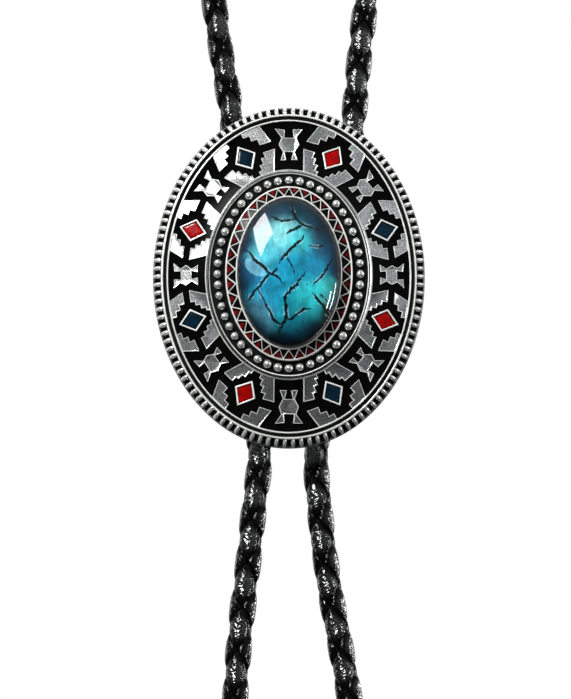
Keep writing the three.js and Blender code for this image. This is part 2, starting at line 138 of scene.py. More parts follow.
def cast_zinc(tree):
    """Cast zinc alloy with a silver finish, blackened and wiped: polished edges worn bright and painted lighter
    still as a painted highlight, grey satin faces with a fine cast grain, and black left in the recesses.
    Attributes say which is which."""
    where = add(tree, "ShaderNodeTexCoord").outputs["Object"]
    recess = add(tree, "ShaderNodeAttribute", attribute_name="recess").outputs["Fac"]
    polish = add(tree, "ShaderNodeAttribute", attribute_name="polish").outputs["Fac"]
    # Cast grain, about 0.25 mm, and broader tarnish of about 4 mm
    grain = add(tree, "ShaderNodeTexNoise", {"Vector": where, "Scale": 4200.0, "Detail": 3.0,
                                            "Roughness": 0.6})
    clouds = add(tree, "ShaderNodeTexNoise", {"Vector": where, "Scale": 260.0, "Detail": 4.0,
                                             "Roughness": 0.55})
    face = add(tree, "ShaderNodeValToRGB", {0: clouds},
               [(0.3, "#b4b9ba"), (0.5, "#d2d5d6"), (0.7, "#e6e8e8")])
    speckle = add(tree, "ShaderNodeValToRGB", {0: grain}, [(0.34, 0.45), (0.52, 1.0), (0.72, 1.25)])
    satin = add(tree, "ShaderNodeMix", {"Factor": 1.0, 6: face, 7: speckle}, data_type="RGBA",
                blend_type="MULTIPLY")
    # Painted highlight: polished edges turn near-white, partly worn metal and partly the gleam of their bevels
    bright = add(tree, "ShaderNodeMix", {"Factor": polish, 6: satin, 7: "#f3f3ef"}, data_type="RGBA")
    # Black stays where the recess is deep, with a ragged edge
    ragged = add(tree, "ShaderNodeMath", {0: clouds, 1: 0.5}, operation="SUBTRACT")
    black = add(tree, "ShaderNodeMath", {0: ragged, 1: 0.5, 2: recess}, operation="MULTIPLY_ADD")
    held = add(tree, "ShaderNodeMapRange", {"Value": black, "From Min": 0.35, "From Max": 0.7})
    colour = add(tree, "ShaderNodeMix", {"Factor": held, 6: bright, 7: "#060607"}, data_type="RGBA")
    rough = add(tree, "ShaderNodeMapRange", {"Value": polish, "From Min": 0.15, "From Max": 0.6,
                                            "To Min": 0.22, "To Max": 0.18})
    rough_all = add(tree, "ShaderNodeMix", {0: held, 2: rough, 3: 0.42})
    # Wiped and worn edges scatter as much light as they mirror: a painted highlight, a near-white diffuse
    # colour standing in for the gleam of their bevels
    wiped = add(tree, "ShaderNodeMapRange", {"Value": polish, "From Min": 0.6, "From Max": 1.0,
                                            "To Min": 1.0, "To Max": 0.2})
    clean = add(tree, "ShaderNodeMath", {0: 1.0, 1: held}, operation="SUBTRACT")
    metal = add(tree, "ShaderNodeMath", {0: clean, 1: wiped}, operation="MULTIPLY")
    bump = add(tree, "ShaderNodeBump", {"Strength": 0.35, "Distance": 0.00004, "Height": grain})
    return {"Base Color": colour, "Metallic": metal, "Roughness": rough_all, "Specular IOR Level": 0.16,
            "Normal": bump}


def fired_enamel(tree, deep, light, specular=0.12, rough=0.12, patch=900.0):
    """Opaque glossy enamel flooded into a cell. It is uneven in colour, in patches of about a millimetre,
    and its face has an orange peel of about half a millimetre."""
    where = add(tree, "ShaderNodeTexCoord").outputs["Object"]
    patches = add(tree, "ShaderNodeTexNoise", {"Vector": where, "Scale": patch, "Detail": 3.0,
                                              "Roughness": 0.6})
    colour = add(tree, "ShaderNodeValToRGB", {0: patches}, [(0.3, deep), (0.7, light)])
    peel = add(tree, "ShaderNodeTexNoise", {"Vector": where, "Scale": 2200.0, "Detail": 1.0})
    bump = add(tree, "ShaderNodeBump", {"Strength": 0.12, "Distance": 0.00005, "Height": peel})
    return {"Base Color": colour, "Roughness": rough, "Specular IOR Level": specular, "Normal": bump}


def dyed_stone(tree):
    """A polished dyed stone under its own gloss: mottled teal and turquoise, with black cracks, painted shade
    towards the girdle and the top, a painted glow and reflection at the left, and painted highlights beside the
    cracks. Its broad colour and cracks come as attributes, its mottling and streaks from noise."""
    where = add(tree, "ShaderNodeTexCoord").outputs["Object"]
    # The broad colour: the stone's own tones, with painted shade, glow and reflection in them
    broad = add(tree, "ShaderNodeAttribute", attribute_name="dye").outputs["Color"]
    crack = add(tree, "ShaderNodeAttribute", attribute_name="crack").outputs["Fac"]
    edge = add(tree, "ShaderNodeAttribute", attribute_name="edge").outputs["Fac"]
    # Mottling of about 2.4 mm, and streaks 0.7 mm wide and 2.4 mm long
    mottle = add(tree, "ShaderNodeTexNoise", {"Vector": where, "Scale": 420.0, "Detail": 5.0,
                                             "Roughness": 0.62, "Distortion": 0.6})
    drawn = add(tree, "ShaderNodeMapping", {"Vector": where, "Scale": (1.0, 1.0, 0.28),
                                           "Rotation": (0.0, 0.25, 0.0)})
    streaks = add(tree, "ShaderNodeTexNoise", {"Vector": drawn, "Scale": 1500.0, "Detail": 4.0,
                                              "Roughness": 0.7})
    tone = add(tree, "ShaderNodeValToRGB", {0: mottle}, [(0.28, 0.55), (0.5, 0.95), (0.75, 1.45)])
    fine = add(tree, "ShaderNodeValToRGB", {0: streaks}, [(0.3, 0.72), (0.55, 1.0), (0.8, 1.3)])
    colour = broad
    for pattern in (tone, fine):
        colour = add(tree, "ShaderNodeMix", {"Factor": 1.0, 6: colour, 7: pattern}, data_type="RGBA",
                     blend_type="MULTIPLY")
    # The pale tone beside the cracks is a painted highlight; the cracks themselves are black
    for share, over in ((edge, "#bfeef2"), (crack, "#01060a")):
        colour = add(tree, "ShaderNodeMix", {"Factor": share, 6: colour, 7: over}, data_type="RGBA")
    return {"Base Color": colour, "Roughness": 0.5, "Specular IOR Level": 0.05, "Coat Weight": 1.0,
            "Coat Roughness": 0.02, "Coat IOR": 1.46}


def waxed_leather(tree):
    """Black dyed leather lace, cut flat, waxed and pulled tight: lengthwise creases, pores, a sharp gloss,
    and where a lace bends over a crossing, a row of chevron wrinkles that sparkle."""
    uv = add(tree, "ShaderNodeUVMap", uv_map="lace")
    crest = add(tree, "ShaderNodeAttribute", attribute_name="crest").outputs["Fac"]
    # The map runs in millimetres along the lace and across it: creases 2.4 mm long and 0.45 mm wide, and
    # pores of 0.5 mm
    along = add(tree, "ShaderNodeMapping", {"Vector": uv, "Scale": (0.42, 2.2, 1.0)})
    creases = add(tree, "ShaderNodeTexNoise", {"Vector": along, "Scale": 1.0, "Detail": 1.0,
                                              "Roughness": 0.5, "Distortion": 0.5})
    grain = add(tree, "ShaderNodeTexNoise", {"Vector": uv, "Scale": 2.0, "Detail": 1.0, "Roughness": 0.5})
    # Wrinkles that slope back on both sides of the lace's middle
    wrinkle_pitch = 0.7
    spot = add(tree, "ShaderNodeSeparateXYZ", {0: uv})
    slope = add(tree, "ShaderNodeMath", {0: spot.outputs["Y"]}, operation="ABSOLUTE")
    bent = add(tree, "ShaderNodeMath", {0: slope, 1: 0.9, 2: spot.outputs["X"]}, operation="MULTIPLY_ADD")
    jolted = add(tree, "ShaderNodeMath", {0: grain, 1: 0.7, 2: bent}, operation="MULTIPLY_ADD")
    turns = add(tree, "ShaderNodeMath", {0: jolted, 1: TURN / wrinkle_pitch}, operation="MULTIPLY")
    ripple = add(tree, "ShaderNodeMath", {0: turns}, operation="SINE")
    wrinkle = add(tree, "ShaderNodeMath", {0: ripple, 1: crest}, operation="MULTIPLY")
    fold = add(tree, "ShaderNodeMath", {0: wrinkle, 1: 0.2, 2: creases}, operation="MULTIPLY_ADD")
    height = add(tree, "ShaderNodeMath", {0: grain, 1: 0.15, 2: fold}, operation="MULTIPLY_ADD")
    colour = add(tree, "ShaderNodeValToRGB", {0: creases},
                 [(0.3, "#020202"), (0.6, "#060606"), (0.8, "#0e0e0d")])
    rough = add(tree, "ShaderNodeValToRGB", {0: grain}, [(0.3, 0.1), (0.7, 0.04)])
    bump = add(tree, "ShaderNodeBump", {"Strength": 1.0, "Distance": 0.00015, "Height": height})
    # The crowns are burnished by wear
    burnish = add(tree, "ShaderNodeMapRange", {"Value": crest, "From Min": 0.3, "From Max": 0.8})
    worn = add(tree, "ShaderNodeMapRange", {"Value": crest, "From Min": 0.3, "From Max": 0.8,
                                           "To Min": 0.15, "To Max": 1.0})
    return {"Base Color": colour, "Roughness": rough, "Specular IOR Level": worn, "Coat Weight": burnish,
            "Coat Roughness": 0.07, "Normal": bump, "Coat Normal": bump}


def brushed_nickel(tree, light, dark, along):
    """Nickel-plated metal with brush marks about a millimetre wide, drawn as coarse as they need to show.
    Along holds the marks' fineness on each axis."""
    where = add(tree, "ShaderNodeTexCoord").outputs["Object"]
    drawn = add(tree, "ShaderNodeMapping", {"Vector": where, "Scale": along})
    marks = add(tree, "ShaderNodeTexNoise", {"Vector": drawn, "Scale": 1000.0, "Detail": 4.0,
                                            "Roughness": 0.6})
    colour = add(tree, "ShaderNodeValToRGB", {0: marks}, [(0.3, dark), (0.7, light)])
    rough = add(tree, "ShaderNodeValToRGB", {0: marks}, [(0.3, 0.42), (0.7, 0.28)])
    bump = add(tree, "ShaderNodeBump", {"Strength": 0.2, "Distance": 0.00003, "Height": marks})
    return {"Base Color": colour, "Metallic": 1.0, "Roughness": rough, "Normal": bump}


ZINC = new_material("antiqued_cast_zinc", cast_zinc)
BLACK_ENAMEL = new_material("black_enamel", fired_enamel, deep="#020202", light="#060606", specular=0.1,
                            rough=0.16)
RED_ENAMEL = new_material("red_enamel", fired_enamel, deep="#7c0304", light="#a80706")
DARK_RED_ENAMEL = new_material("dark_red_enamel", fired_enamel, deep="#280405", light="#7c1012",
                               specular=0.1, rough=0.15, patch=1100.0)
BLUE_ENAMEL = new_material("blue_enamel", fired_enamel, deep="#04141d", light="#0a2636")
STONE = new_material("dyed_crackle_stone", dyed_stone)
LEATHER = new_material("waxed_leather_lace", waxed_leather)
CLIP_NICKEL = new_material("brushed_nickel_clip", brushed_nickel, light="#c4c5c4", dark="#8b8c8b",
                           along=(0.1, 1.0, 2.5))
TIP_NICKEL = new_material("satin_nickel_tip", brushed_nickel, light="#cfcfcd", dark="#9a9a98",
                          along=(1.0, 1.0, 0.15))


# Mesh helpers

def mesh_from(bm, name):
    mesh = bpy.data.meshes.new(name)
    bm.to_mesh(mesh)
    bm.free()
    return mesh


def finished(name, mesh, material, smooth_angle):
    mesh.materials.append(material)
    mesh.polygons.foreach_set("use_smooth", [True] * len(mesh.polygons))
    mesh.set_sharp_from_angle(angle=math.radians(smooth_angle))
    return new_object(name, mesh)


def object_from(name, verts, faces, material, smooth_angle):
    mesh = bpy.data.meshes.new(name)
    mesh.from_pydata([tuple(v) for v in verts], [], faces)
    return finished(name, mesh, material, smooth_angle)


def around(half_width, half_height, count):
    """Points at even angles round an oval, or its middle alone where it has no width."""
    angles = [TURN * k / count for k in range(count if half_width > 0 else 1)]
    return [(half_width * math.cos(a), half_height * math.sin(a)) for a in angles]


def lathed(name, rows, material, smooth_angle, way=1, ring=False, cap=False):
    """A surface through rows of corners, where a row of one corner is a pole. A ring closes on its first
    row, and a cap fills the first row. Way is -1 where the rows run the other way round."""
    verts = [corner for row in rows for corner in row]
    starts = np.cumsum([0] + [len(row) for row in rows]).tolist()
    rings = [range(*pair) for pair in zip(starts, starts[1:])]
    faces = []
    for low, high in zip(rings, rings[1:] + rings[:1] if ring else rings[1:]):
        count = max(len(low), len(high))
        for k in range(count):
            n = (k + 1) % count
            corners = [low[k % len(low)], low[n % len(low)], high[n % len(high)], high[k % len(high)]]
            faces.append(tuple(dict.fromkeys(corners))[::way])
    if cap:
        faces.append(tuple(rings[0]))
    return object_from(name, verts, faces, material, smooth_angle)


def set_attribute(mesh, name, values):
    layer = mesh.attributes.get(name) or mesh.attributes.new(name, "FLOAT", "POINT")
    layer.data.foreach_set("value", np.asarray(values, dtype=np.float32))


def applied(piece, material):
    """The object's mesh with its modifiers worked in, as a plain object in its place."""
    graph = bpy.context.evaluated_depsgraph_get()
    mesh = bpy.data.meshes.new_from_object(piece.evaluated_get(graph))
    name, unworked = piece.name, piece.data
    bpy.data.objects.remove(piece)
    bpy.data.meshes.remove(unworked)
    mesh.name = name
    mesh.materials.clear()
    mesh.materials.append(material)
    return new_object(name, mesh)


def dress(piece, node):
    """Puts a piece on the only body, in the place of a node of the solids."""
    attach(piece, "root")
    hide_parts(node)


# Cord routes, the points of the solids

def in_clip(mid, lean, height):
    """A place on the straight run through the clip, above or below the middle of the slide."""
    return (mid + lean * height, CORD_Y, height - SLIDE_DROP)


CLIP_ENDS = (GAP / 2, CLIP_HEIGHT / 2, CLIP_HEIGHT)
LEFT_UP = [in_clip(LEFT_MID, LEFT_LEAN, h) for h in CLIP_ENDS]
RIGHT_UP = [in_clip(RIGHT_MID, RIGHT_LEAN, h) for h in CLIP_ENDS]
LEFT_DOWN = [in_clip(LEFT_MID, LEFT_LEAN, -h) for h in CLIP_ENDS]
RIGHT_DOWN = [in_clip(RIGHT_MID, RIGHT_LEAN, -h) for h in CLIP_ENDS]


def near_slide(rows):
    """Points given across, back from the cord's place in the clip, and up from the slide's middle."""
    return [(across, CORD_Y + back, up - SLIDE_DROP) for across, back, up in rows]


LEFT_RISE = near_slide([(-9.3, 0.15, 27), (-11.4, 0.75, 40.6), (-14.8, 3.15, 64)])
RIGHT_RISE = near_slide([(10.6, 0.15, 27), (11.9, 0.75, 40.6), (15.2, 3.15, 64)])

# Half of the loop round the neck: across, and shares of the slide's distance forward and down
LOOP_HALF = [
    (21.1, 0.907, 0.687), (29.5, 0.839, 0.573), (39, 0.757, 0.46), (48.5, 0.664, 0.35), (56.5, 0.564, 0.24),
    (61.6, 0.454, 0.142), (61.4, 0.332, 0.07), (53.5, 0.193, 0.027), (37.5, 0.075, 0.006), (19, 0.01, -0.003),
]


def loop_side(side):
    return [(side * across, -forward * SLIDE_FORWARD, -down * SLIDE_DROP)
            for across, forward, down in LOOP_HALF]


NAPE = (0, CORD_RADIUS * math.sqrt(0.5), CORD_RADIUS * math.sqrt(0.5))
NECK_ROUTE = (LEFT_UP + LEFT_RISE + loop_side(-1) + [NAPE] + loop_side(1)[::-1] + RIGHT_RISE[::-1]
                  + RIGHT_UP[::-1])
LEFT_END_ROUTE = LEFT_DOWN + near_slide([
    (-4.75, 0.05, -28.8), (-5.6, -0.15, -36.5), (-6.4, -0.25, -44.3), (-7.3, -0.35, -52),
    (-8.05, -0.35, -59.7), (-8.7, -0.35, -68.2), (-9.1, -0.35, -76.5),
])
RIGHT_END_ROUTE = RIGHT_DOWN + near_slide([
    (4.4, 0.05, -28.8), (4.95, -0.15, -36.5), (5.75, -0.25, -44.3), (6.95, -0.35, -52), (8.4, -0.35, -59.7),
    (9.85, -0.35, -68.2), (11.15, -0.35, -76.5),
])


FINE_STEP = 0.3
FINE_LENGTH = 75.0
COARSE_STEP = 0.85


def smooth_route(points):
    """Points on the centripetal curve through a list of points, in millimetres, and how far along it each
    one lies. They are a fine step apart within the fine length of either end, and a coarse one between."""
    p = np.array(points, float)
    p = np.vstack([2 * p[0] - p[1], p, 2 * p[-1] - p[-2]])
    traced = []
    for i in range(1, len(p) - 2):
        knots = [0.0]
        for a, b in zip(p[i - 1:i + 2], p[i:i + 3]):
            knots.append(knots[-1] + np.linalg.norm(b - a) ** 0.5)
        t0, t1, t2, t3 = knots
        for t in np.linspace(t1, t2, 40, endpoint=False):
            a1 = (t1 - t) / (t1 - t0) * p[i - 1] + (t - t0) / (t1 - t0) * p[i]
            a2 = (t2 - t) / (t2 - t1) * p[i] + (t - t1) / (t2 - t1) * p[i + 1]
            a3 = (t3 - t) / (t3 - t2) * p[i + 1] + (t - t2) / (t3 - t2) * p[i + 2]
            b1 = (t2 - t) / (t2 - t0) * a1 + (t - t0) / (t2 - t0) * a2
            b2 = (t3 - t) / (t3 - t1) * a2 + (t - t1) / (t3 - t1) * a3
            traced.append((t2 - t) / (t2 - t1) * b1 + (t - t1) / (t2 - t1) * b2)
    traced.append(p[-2])
    traced = np.array(traced)
    run = np.concatenate([[0], np.cumsum(np.linalg.norm(np.diff(traced, axis=0), axis=1))])
    fine_length = min(FINE_LENGTH, run[-1] / 2)
    near = np.arange(0, fine_length, FINE_STEP)
    between = np.arange(fine_length, run[-1] - fine_length, COARSE_STEP)
    wanted = np.concatenate([near, between, run[-1] - near[::-1]])
    return np.stack([np.interp(wanted, run, traced[:, k]) for k in range(3)], axis=1), wanted


def carried_frames(points, run):
    """Unit normals and sides that turn as little as they can along the route. The normal faces back on a
    rising cord and forward on a falling one."""
    tangents = np.gradient(points, run, axis=0)
    tangents /= np.linalg.norm(tangents, axis=1)[:, None]
    normal = np.cross(tangents[0], (1.0, 0.0, 0.0))
    normals = []
    for tangent in tangents:
        normal = normal - tangent * normal.dot(tangent)
        normal /= np.linalg.norm(normal)
        normals.append(normal)
    normals = np.array(normals)
    return normals, np.cross(tangents, normals)


# The braid: four flat laces, two wound each way, each one over and under the next. A place on the cord has
# two phases, one that stays the same along the laces of each hand. A lace spans a quarter turn to each
# side of its middle, and the phase of the other hand lifts it over a crossing or dips it under one.

BRAID_LEAD = 14.2
LACE_THICKNESS = 0.84
LACE_SPAN = math.radians(86)
WEAVE_LIFT = 0.44
WEAVE_STEEPNESS = 1.9
LACE_MIDDLE = CORD_RADIUS - WEAVE_LIFT - LACE_THICKNESS / 2
LACE_RADIUS = 1.7
LACE_SLANT = math.atan(TURN * LACE_RADIUS / BRAID_LEAD)
LACE_HALF_WIDTH = 2.05


def lace_section():
    """The lace's outline as shares: across from -1 to 1, and up from its middle. Its top is broad and
    rounded, with a soft crown, and its underside is flatter."""
    top = [(a, 1 - 0.3 * a * a - 0.7 * abs(a) ** 7 - 0.2 * math.exp(-((abs(a) - 0.7) / 0.1) ** 2))
           for a in np.linspace(-1, 1, 21)]
    under = [(a, -1 + abs(a) ** 6) for a in np.linspace(1, -1, 5)[1:-1]]
    return np.array(top + under)


def slow_noise(rng, run, spacing):
    """Random values along the run that change over a spacing."""
    count = max(4, int(run[-1] / spacing))
    return np.interp(run, np.linspace(0, run[-1], count), rng.normal(0, 1, count))


def braided_cord(name, route, phase, seed):
    """The braid along a route, with the route's points and its length in metres."""
    points, run = smooth_route(route)
    normals, sides = carried_frames(points, run)
    rng = np.random.default_rng(seed)
    section = lace_section()
    across = section[:, 0]
    rows, count = len(run), len(section)
    twist = TURN * run / BRAID_LEAD + 0.06 * slow_noise(rng, run, 9)
    roll = phase + 0.12 * slow_noise(rng, run, 22)
    verts, faces, uvs, crests = [], [], [], []
    for hand in (1, -1):
        for first in (0.0, math.pi):
            width = 1 + 0.03 * slow_noise(rng, run, 4)
            drift = 0.05 * slow_noise(rng, run, 6)[:, None]
            own = first + LACE_SPAN * across[None, :] * width[:, None] + drift
            other = own + hand * 2 * twist[:, None]
            weave = hand * math.cos(first) * np.cos(other)
            lift = np.tanh(WEAVE_STEEPNESS * weave) / math.tanh(WEAVE_STEEPNESS)
            swell = 1 + 0.06 * slow_noise(rng, run, 3)
            radius = LACE_MIDDLE + WEAVE_LIFT * lift
            radius += LACE_THICKNESS / 2 * section[None, :, 1] * swell[:, None]
            angle = own + hand * twist[:, None] + roll[:, None]
            back, aside = np.cos(angle)[:, :, None], np.sin(angle)[:, :, None]
            out = back * normals[:, None, :] + aside * sides[:, None, :]
            spot = points[:, None, :] + radius[:, :, None] * out
            base = len(verts)
            verts.extend(spot.reshape(-1, 3) * MM)
            upper = (section[:, 1] > 0)[None, :]
            crests.extend((np.clip(weave, 0, 1) * (1 - across[None, :] ** 2) * upper).ravel())
            for i in range(rows - 1):
                for k in range(count):
                    n = (k + 1) % count
                    here, following = base + i * count, base + (i + 1) * count
                    faces.append((here + k, following + k, following + n, here + n))
                    u0, u1 = run[i] / math.cos(LACE_SLANT), run[i + 1] / math.cos(LACE_SLANT)
                    v0, v1 = across[k] * LACE_HALF_WIDTH, across[n] * LACE_HALF_WIDTH
                    uvs.append(((u0, v0), (u1, v0), (u1, v1), (u0, v1)))
            for start, way in ((base, 1), (base + (rows - 1) * count, -1)):
                faces.append(tuple(start + k for k in range(count))[::way])
                uvs.append(((0.0, 0.0),) * count)
    cord = object_from(name, verts, faces, LEATHER, 60.0)
    layer = cord.data.uv_layers.new(name="lace")
    layer.data.foreach_set("uv", np.array([c for face in uvs for p in face for c in p], dtype=np.float32))
    set_attribute(cord.data, "crest", crests)
    facing = bmesh.new()
    facing.from_mesh(cord.data)
    bmesh.ops.recalc_face_normals(facing, faces=facing.faces[:])
    facing.to_mesh(cord.data)
    facing.free()
    return cord, [tuple(p * MM) for p in points], run[-1] * MM


def make_cords():
    neck, _, _ = braided_cord("neck_braid", NECK_ROUTE, 0.0, 11)
    dress(neck, "neck_cord")
    for side, route, phase, seed, mid, lean in (
            ("left", LEFT_END_ROUTE, 0.1, 12, LEFT_MID, LEFT_LEAN),
            ("right", RIGHT_END_ROUTE, 0.35, 13, RIGHT_MID, RIGHT_LEAN)):
        end, path, length = braided_cord(f"{side}_end_braid", route, phase, seed)
        tip = make_tip(side, route)
        dress(end, f"{side}_cord_end")


# The tips: turned cones with two grooves by the mouth

TIP_LENGTH = 32.0
TIP_WALL = 0.55
TIP_SOCKET = 7.0
TIP_POINT = 1.3
TIP_GROOVE = 0.22
TIP_SEGMENTS = 48


def make_tip(side, route):
    mouth = CORD_RADIUS + GAP + TIP_WALL
    socket = mouth - TIP_WALL + 0.15
    depth = TIP_SOCKET + GAP
    taper = TIP_LENGTH - TIP_SOCKET * 1.6
    profile = [(0.0, 0.0)]
    profile += [(TIP_POINT * math.sin(a), TIP_POINT * (1 - math.cos(a))) for a in np.linspace(0.25, 1.35, 6)]
    profile += [(mouth - 0.12, taper - 0.6), (mouth, taper + 0.2)]
    for height in (taper + 2.0, taper + 3.2):
        profile += [(mouth, height - 0.35), (mouth - TIP_GROOVE, height - 0.12),
                    (mouth - TIP_GROOVE, height + 0.12), (mouth, height + 0.35)]
    profile += [(mouth, TIP_LENGTH - 0.3), (mouth - 0.12, TIP_LENGTH - 0.05), (mouth - 0.3, TIP_LENGTH),
                (socket, TIP_LENGTH - 0.1), (socket, TIP_LENGTH - depth), (0.0, TIP_LENGTH - depth)]
    end, before = Vector(route[-1]), Vector(route[-2])
    along = (before - end).normalized()
    turn = Vector((0, 0, 1)).rotation_difference(along)
    seat = end - along * GAP
    rows = [[(seat + turn @ Vector((x, y, height - TIP_LENGTH + depth))) * MM
             for x, y in around(radius, radius, TIP_SEGMENTS)] for radius, height in profile]
    tip = lathed(f"{side}_metal_tip", rows, TIP_NICKEL, 40.0)
    dress(tip, f"{side}_tip")
    return tip


make_cords()


# Ovals of the slide, from the stone outwards, as half width and half height

MIDDLE = (0.0, 0.0)
STONE_OVAL = np.array((8.3, 12.3))
TRIANGLE_RING = 2.0
BEZEL_WALL = 0.24
BEAD_CHANNEL = np.array((2.45, 2.15))
COLLAR = 0.8
BAND = np.array((5.95, 8.2))
LINE = 0.3
GROOVE = 0.55
RIM_SLOPE = 1.25
BEZEL_INNER = STONE_OVAL + 0.04
BEZEL_OUTER = BEZEL_INNER + BEZEL_WALL
TRIANGLE_OVAL = STONE_OVAL + TRIANGLE_RING
COLLAR_INNER = TRIANGLE_OVAL + BEAD_CHANNEL
COLLAR_OUTER = COLLAR_INNER + COLLAR
BAND_OUTER = COLLAR_OUTER + BAND
BAND_MIDDLE = COLLAR_OUTER + BAND / 2
LINE_OUTER = BAND_OUTER + LINE
RIM_INNER = LINE_OUTER + GROOVE
RIM_OVAL = RIM_INNER + LINE
WALL_FOOT = RIM_OVAL + RIM_SLOPE

# Depths forward of the slide's flat back, and heights from them
GROOVE_DEPTH = 0.4
COLLAR_DEPTH = 4.5
COLLAR_CROWN = 0.35
BEAD_FLOOR = 4.4
TRIANGLE_FOOT = 5.5
BEZEL_DEPTH = 6.4
SEAT_DEPTH = 4.6
STONE_DOME = 3.6
RELIEF = 0.4
OVAL_SEGMENTS = 240



def oval_surface(name, rows, material, ring=False):
    """A surface from rows that begin with an oval and its depth, from the back's middle to the front's."""
    spots = [[place(x, z, row[1]) for x, z in around(*row[0], OVAL_SEGMENTS)] for row in rows]
    return lathed(name, spots, material, 38.0, way=-1, ring=ring)


def slide_body():
    ground = RIM_DEPTH - RELIEF - 0.25
    low_collar = COLLAR_DEPTH - RELIEF - 0.25
    rows = [
        # oval, depth, recess, polish: worn brightness, painted lighter as a highlight
        (MIDDLE, 0.0, 0.0, 0.1),
        (WALL_FOOT - 4.0, 0.0, 0.0, 0.1),
        (WALL_FOOT - 0.75, 0.0, 0.1, 0.3),
        (WALL_FOOT - 0.3, 0.1, 0.2, 0.4),
        (WALL_FOOT, 0.6, 0.5, 0.5),
        (WALL_FOOT + 0.08, 1.4, 0.64, 0.4),
        (WALL_FOOT + 0.1, 1.75, 0.64, 0.4),
        (WALL_FOOT - 0.02, 1.9, 0.6, 0.4),
        (RIM_OVAL + 1.06, 1.98, 0.7, 0.3),
        (RIM_OVAL + 0.98, 1.8, 1.0, 0.0),
        (RIM_OVAL + 0.5, 1.7, 1.0, 0.0),
        (RIM_OVAL + 0.12, RIM_DEPTH - 0.5, 1.0, 0.0),
        (RIM_OVAL + 0.06, RIM_DEPTH - 0.18, 0.0, 0.8),
        (RIM_OVAL - 0.03, RIM_DEPTH - 0.02, 0.0, 1.0),
        (RIM_INNER + 0.14, RIM_DEPTH + 0.02, 0.0, 1.0),
        (RIM_INNER + 0.03, RIM_DEPTH - 0.05, 0.0, 0.8),
        (RIM_INNER, RIM_DEPTH - 0.2, 0.5, 0.2),
        (RIM_INNER - 0.06, RIM_DEPTH - GROOVE_DEPTH, 1.0, 0.0),
        (LINE_OUTER + 0.06, RIM_DEPTH - GROOVE_DEPTH, 1.0, 0.0),
        (LINE_OUTER, RIM_DEPTH - 0.2, 0.5, 0.2),
        (LINE_OUTER - 0.04, RIM_DEPTH - 0.03, 0.0, 0.9),
        (LINE_OUTER - 0.12, RIM_DEPTH + 0.03, 0.0, 1.0),
        (BAND_OUTER + 0.1, RIM_DEPTH + 0.03, 0.0, 1.0),
        (BAND_OUTER + 0.02, RIM_DEPTH - 0.04, 0.0, 0.8),
        (BAND_OUTER, RIM_DEPTH - 0.2, 0.6, 0.2),
        (BAND_OUTER - 0.01, ground, 1.0, 0.0),
        (COLLAR_OUTER + 0.01, low_collar, 1.0, 0.0),
        (COLLAR_OUTER, COLLAR_DEPTH - 0.2, 0.6, 0.2),
        (COLLAR_OUTER - 0.03, COLLAR_DEPTH, 0.0, 1.0),
        (COLLAR_OUTER - 0.15, COLLAR_DEPTH + 0.14, 0.0, 1.0),
        (COLLAR_OUTER - 0.19, COLLAR_DEPTH + 0.1, 0.3, 0.1),
        (COLLAR_OUTER - 0.36, COLLAR_DEPTH + 0.2, 0.0, 0.1),
        (COLLAR_INNER + 0.36, COLLAR_DEPTH + COLLAR_CROWN - 0.06, 0.0, 0.4),
        (COLLAR_INNER + 0.33, COLLAR_DEPTH + COLLAR_CROWN - 0.2, 1.0, 0.0),
        (COLLAR_INNER + 0.21, COLLAR_DEPTH + COLLAR_CROWN - 0.2, 1.0, 0.0),
        (COLLAR_INNER + 0.18, COLLAR_DEPTH + COLLAR_CROWN - 0.02, 0.0, 1.0),
        (COLLAR_INNER + 0.04, COLLAR_DEPTH + COLLAR_CROWN / 2 + 0.06, 0.0, 1.0),
        (COLLAR_INNER, COLLAR_DEPTH + COLLAR_CROWN / 2 - 0.1, 0.5, 0.1),
        (COLLAR_INNER - 0.05, BEAD_FLOOR, 1.0, 0.0),
        (TRIANGLE_OVAL + 0.08, BEAD_FLOOR, 1.0, 0.0),
        (TRIANGLE_OVAL + 0.02, BEAD_FLOOR + 0.4, 1.0, 0.0),
        (TRIANGLE_OVAL, TRIANGLE_FOOT - 0.25, 0.6, 0.1),
        (TRIANGLE_OVAL - 0.02, TRIANGLE_FOOT, 0.0, 0.8),
        (TRIANGLE_OVAL - 0.1, TRIANGLE_FOOT + 0.14, 0.0, 1.0),
        (TRIANGLE_OVAL - LINE + 0.07, TRIANGLE_FOOT + 0.2, 0.0, 1.0),
        (TRIANGLE_OVAL - LINE, TRIANGLE_FOOT + 0.12, 0.0, 0.8),
        (TRIANGLE_OVAL - LINE - 0.02, TRIANGLE_FOOT - 0.3, 1.0, 0.0),
        (BEZEL_OUTER + 0.02, BEZEL_DEPTH - RELIEF - 0.2, 1.0, 0.0),
        (BEZEL_OUTER, BEZEL_DEPTH - 0.15, 0.0, 1.0),
        (BEZEL_OUTER - 0.04, BEZEL_DEPTH - 0.01, 0.0, 1.0),
        (BEZEL_OUTER - 0.12, BEZEL_DEPTH + 0.04, 0.0, 1.0),
        (BEZEL_INNER + 0.04, BEZEL_DEPTH + 0.03, 0.0, 1.0),
        (BEZEL_INNER, BEZEL_DEPTH - 0.04, 0.0, 1.0),
        (BEZEL_INNER - 0.02, BEZEL_DEPTH - 0.3, 1.0, 0.0),
        (BEZEL_INNER - 0.02, SEAT_DEPTH, 1.0, 0.0),
        (MIDDLE, SEAT_DEPTH, 1.0, 0.0),
    ]
    body = oval_surface("slide_body", rows, ZINC)
    for column, name in ((2, "recess"), (3, "polish")):
        values = [row[column] for row in rows for _ in around(*row[0], OVAL_SEGMENTS)]
        set_attribute(body.data, name, values)
    return body


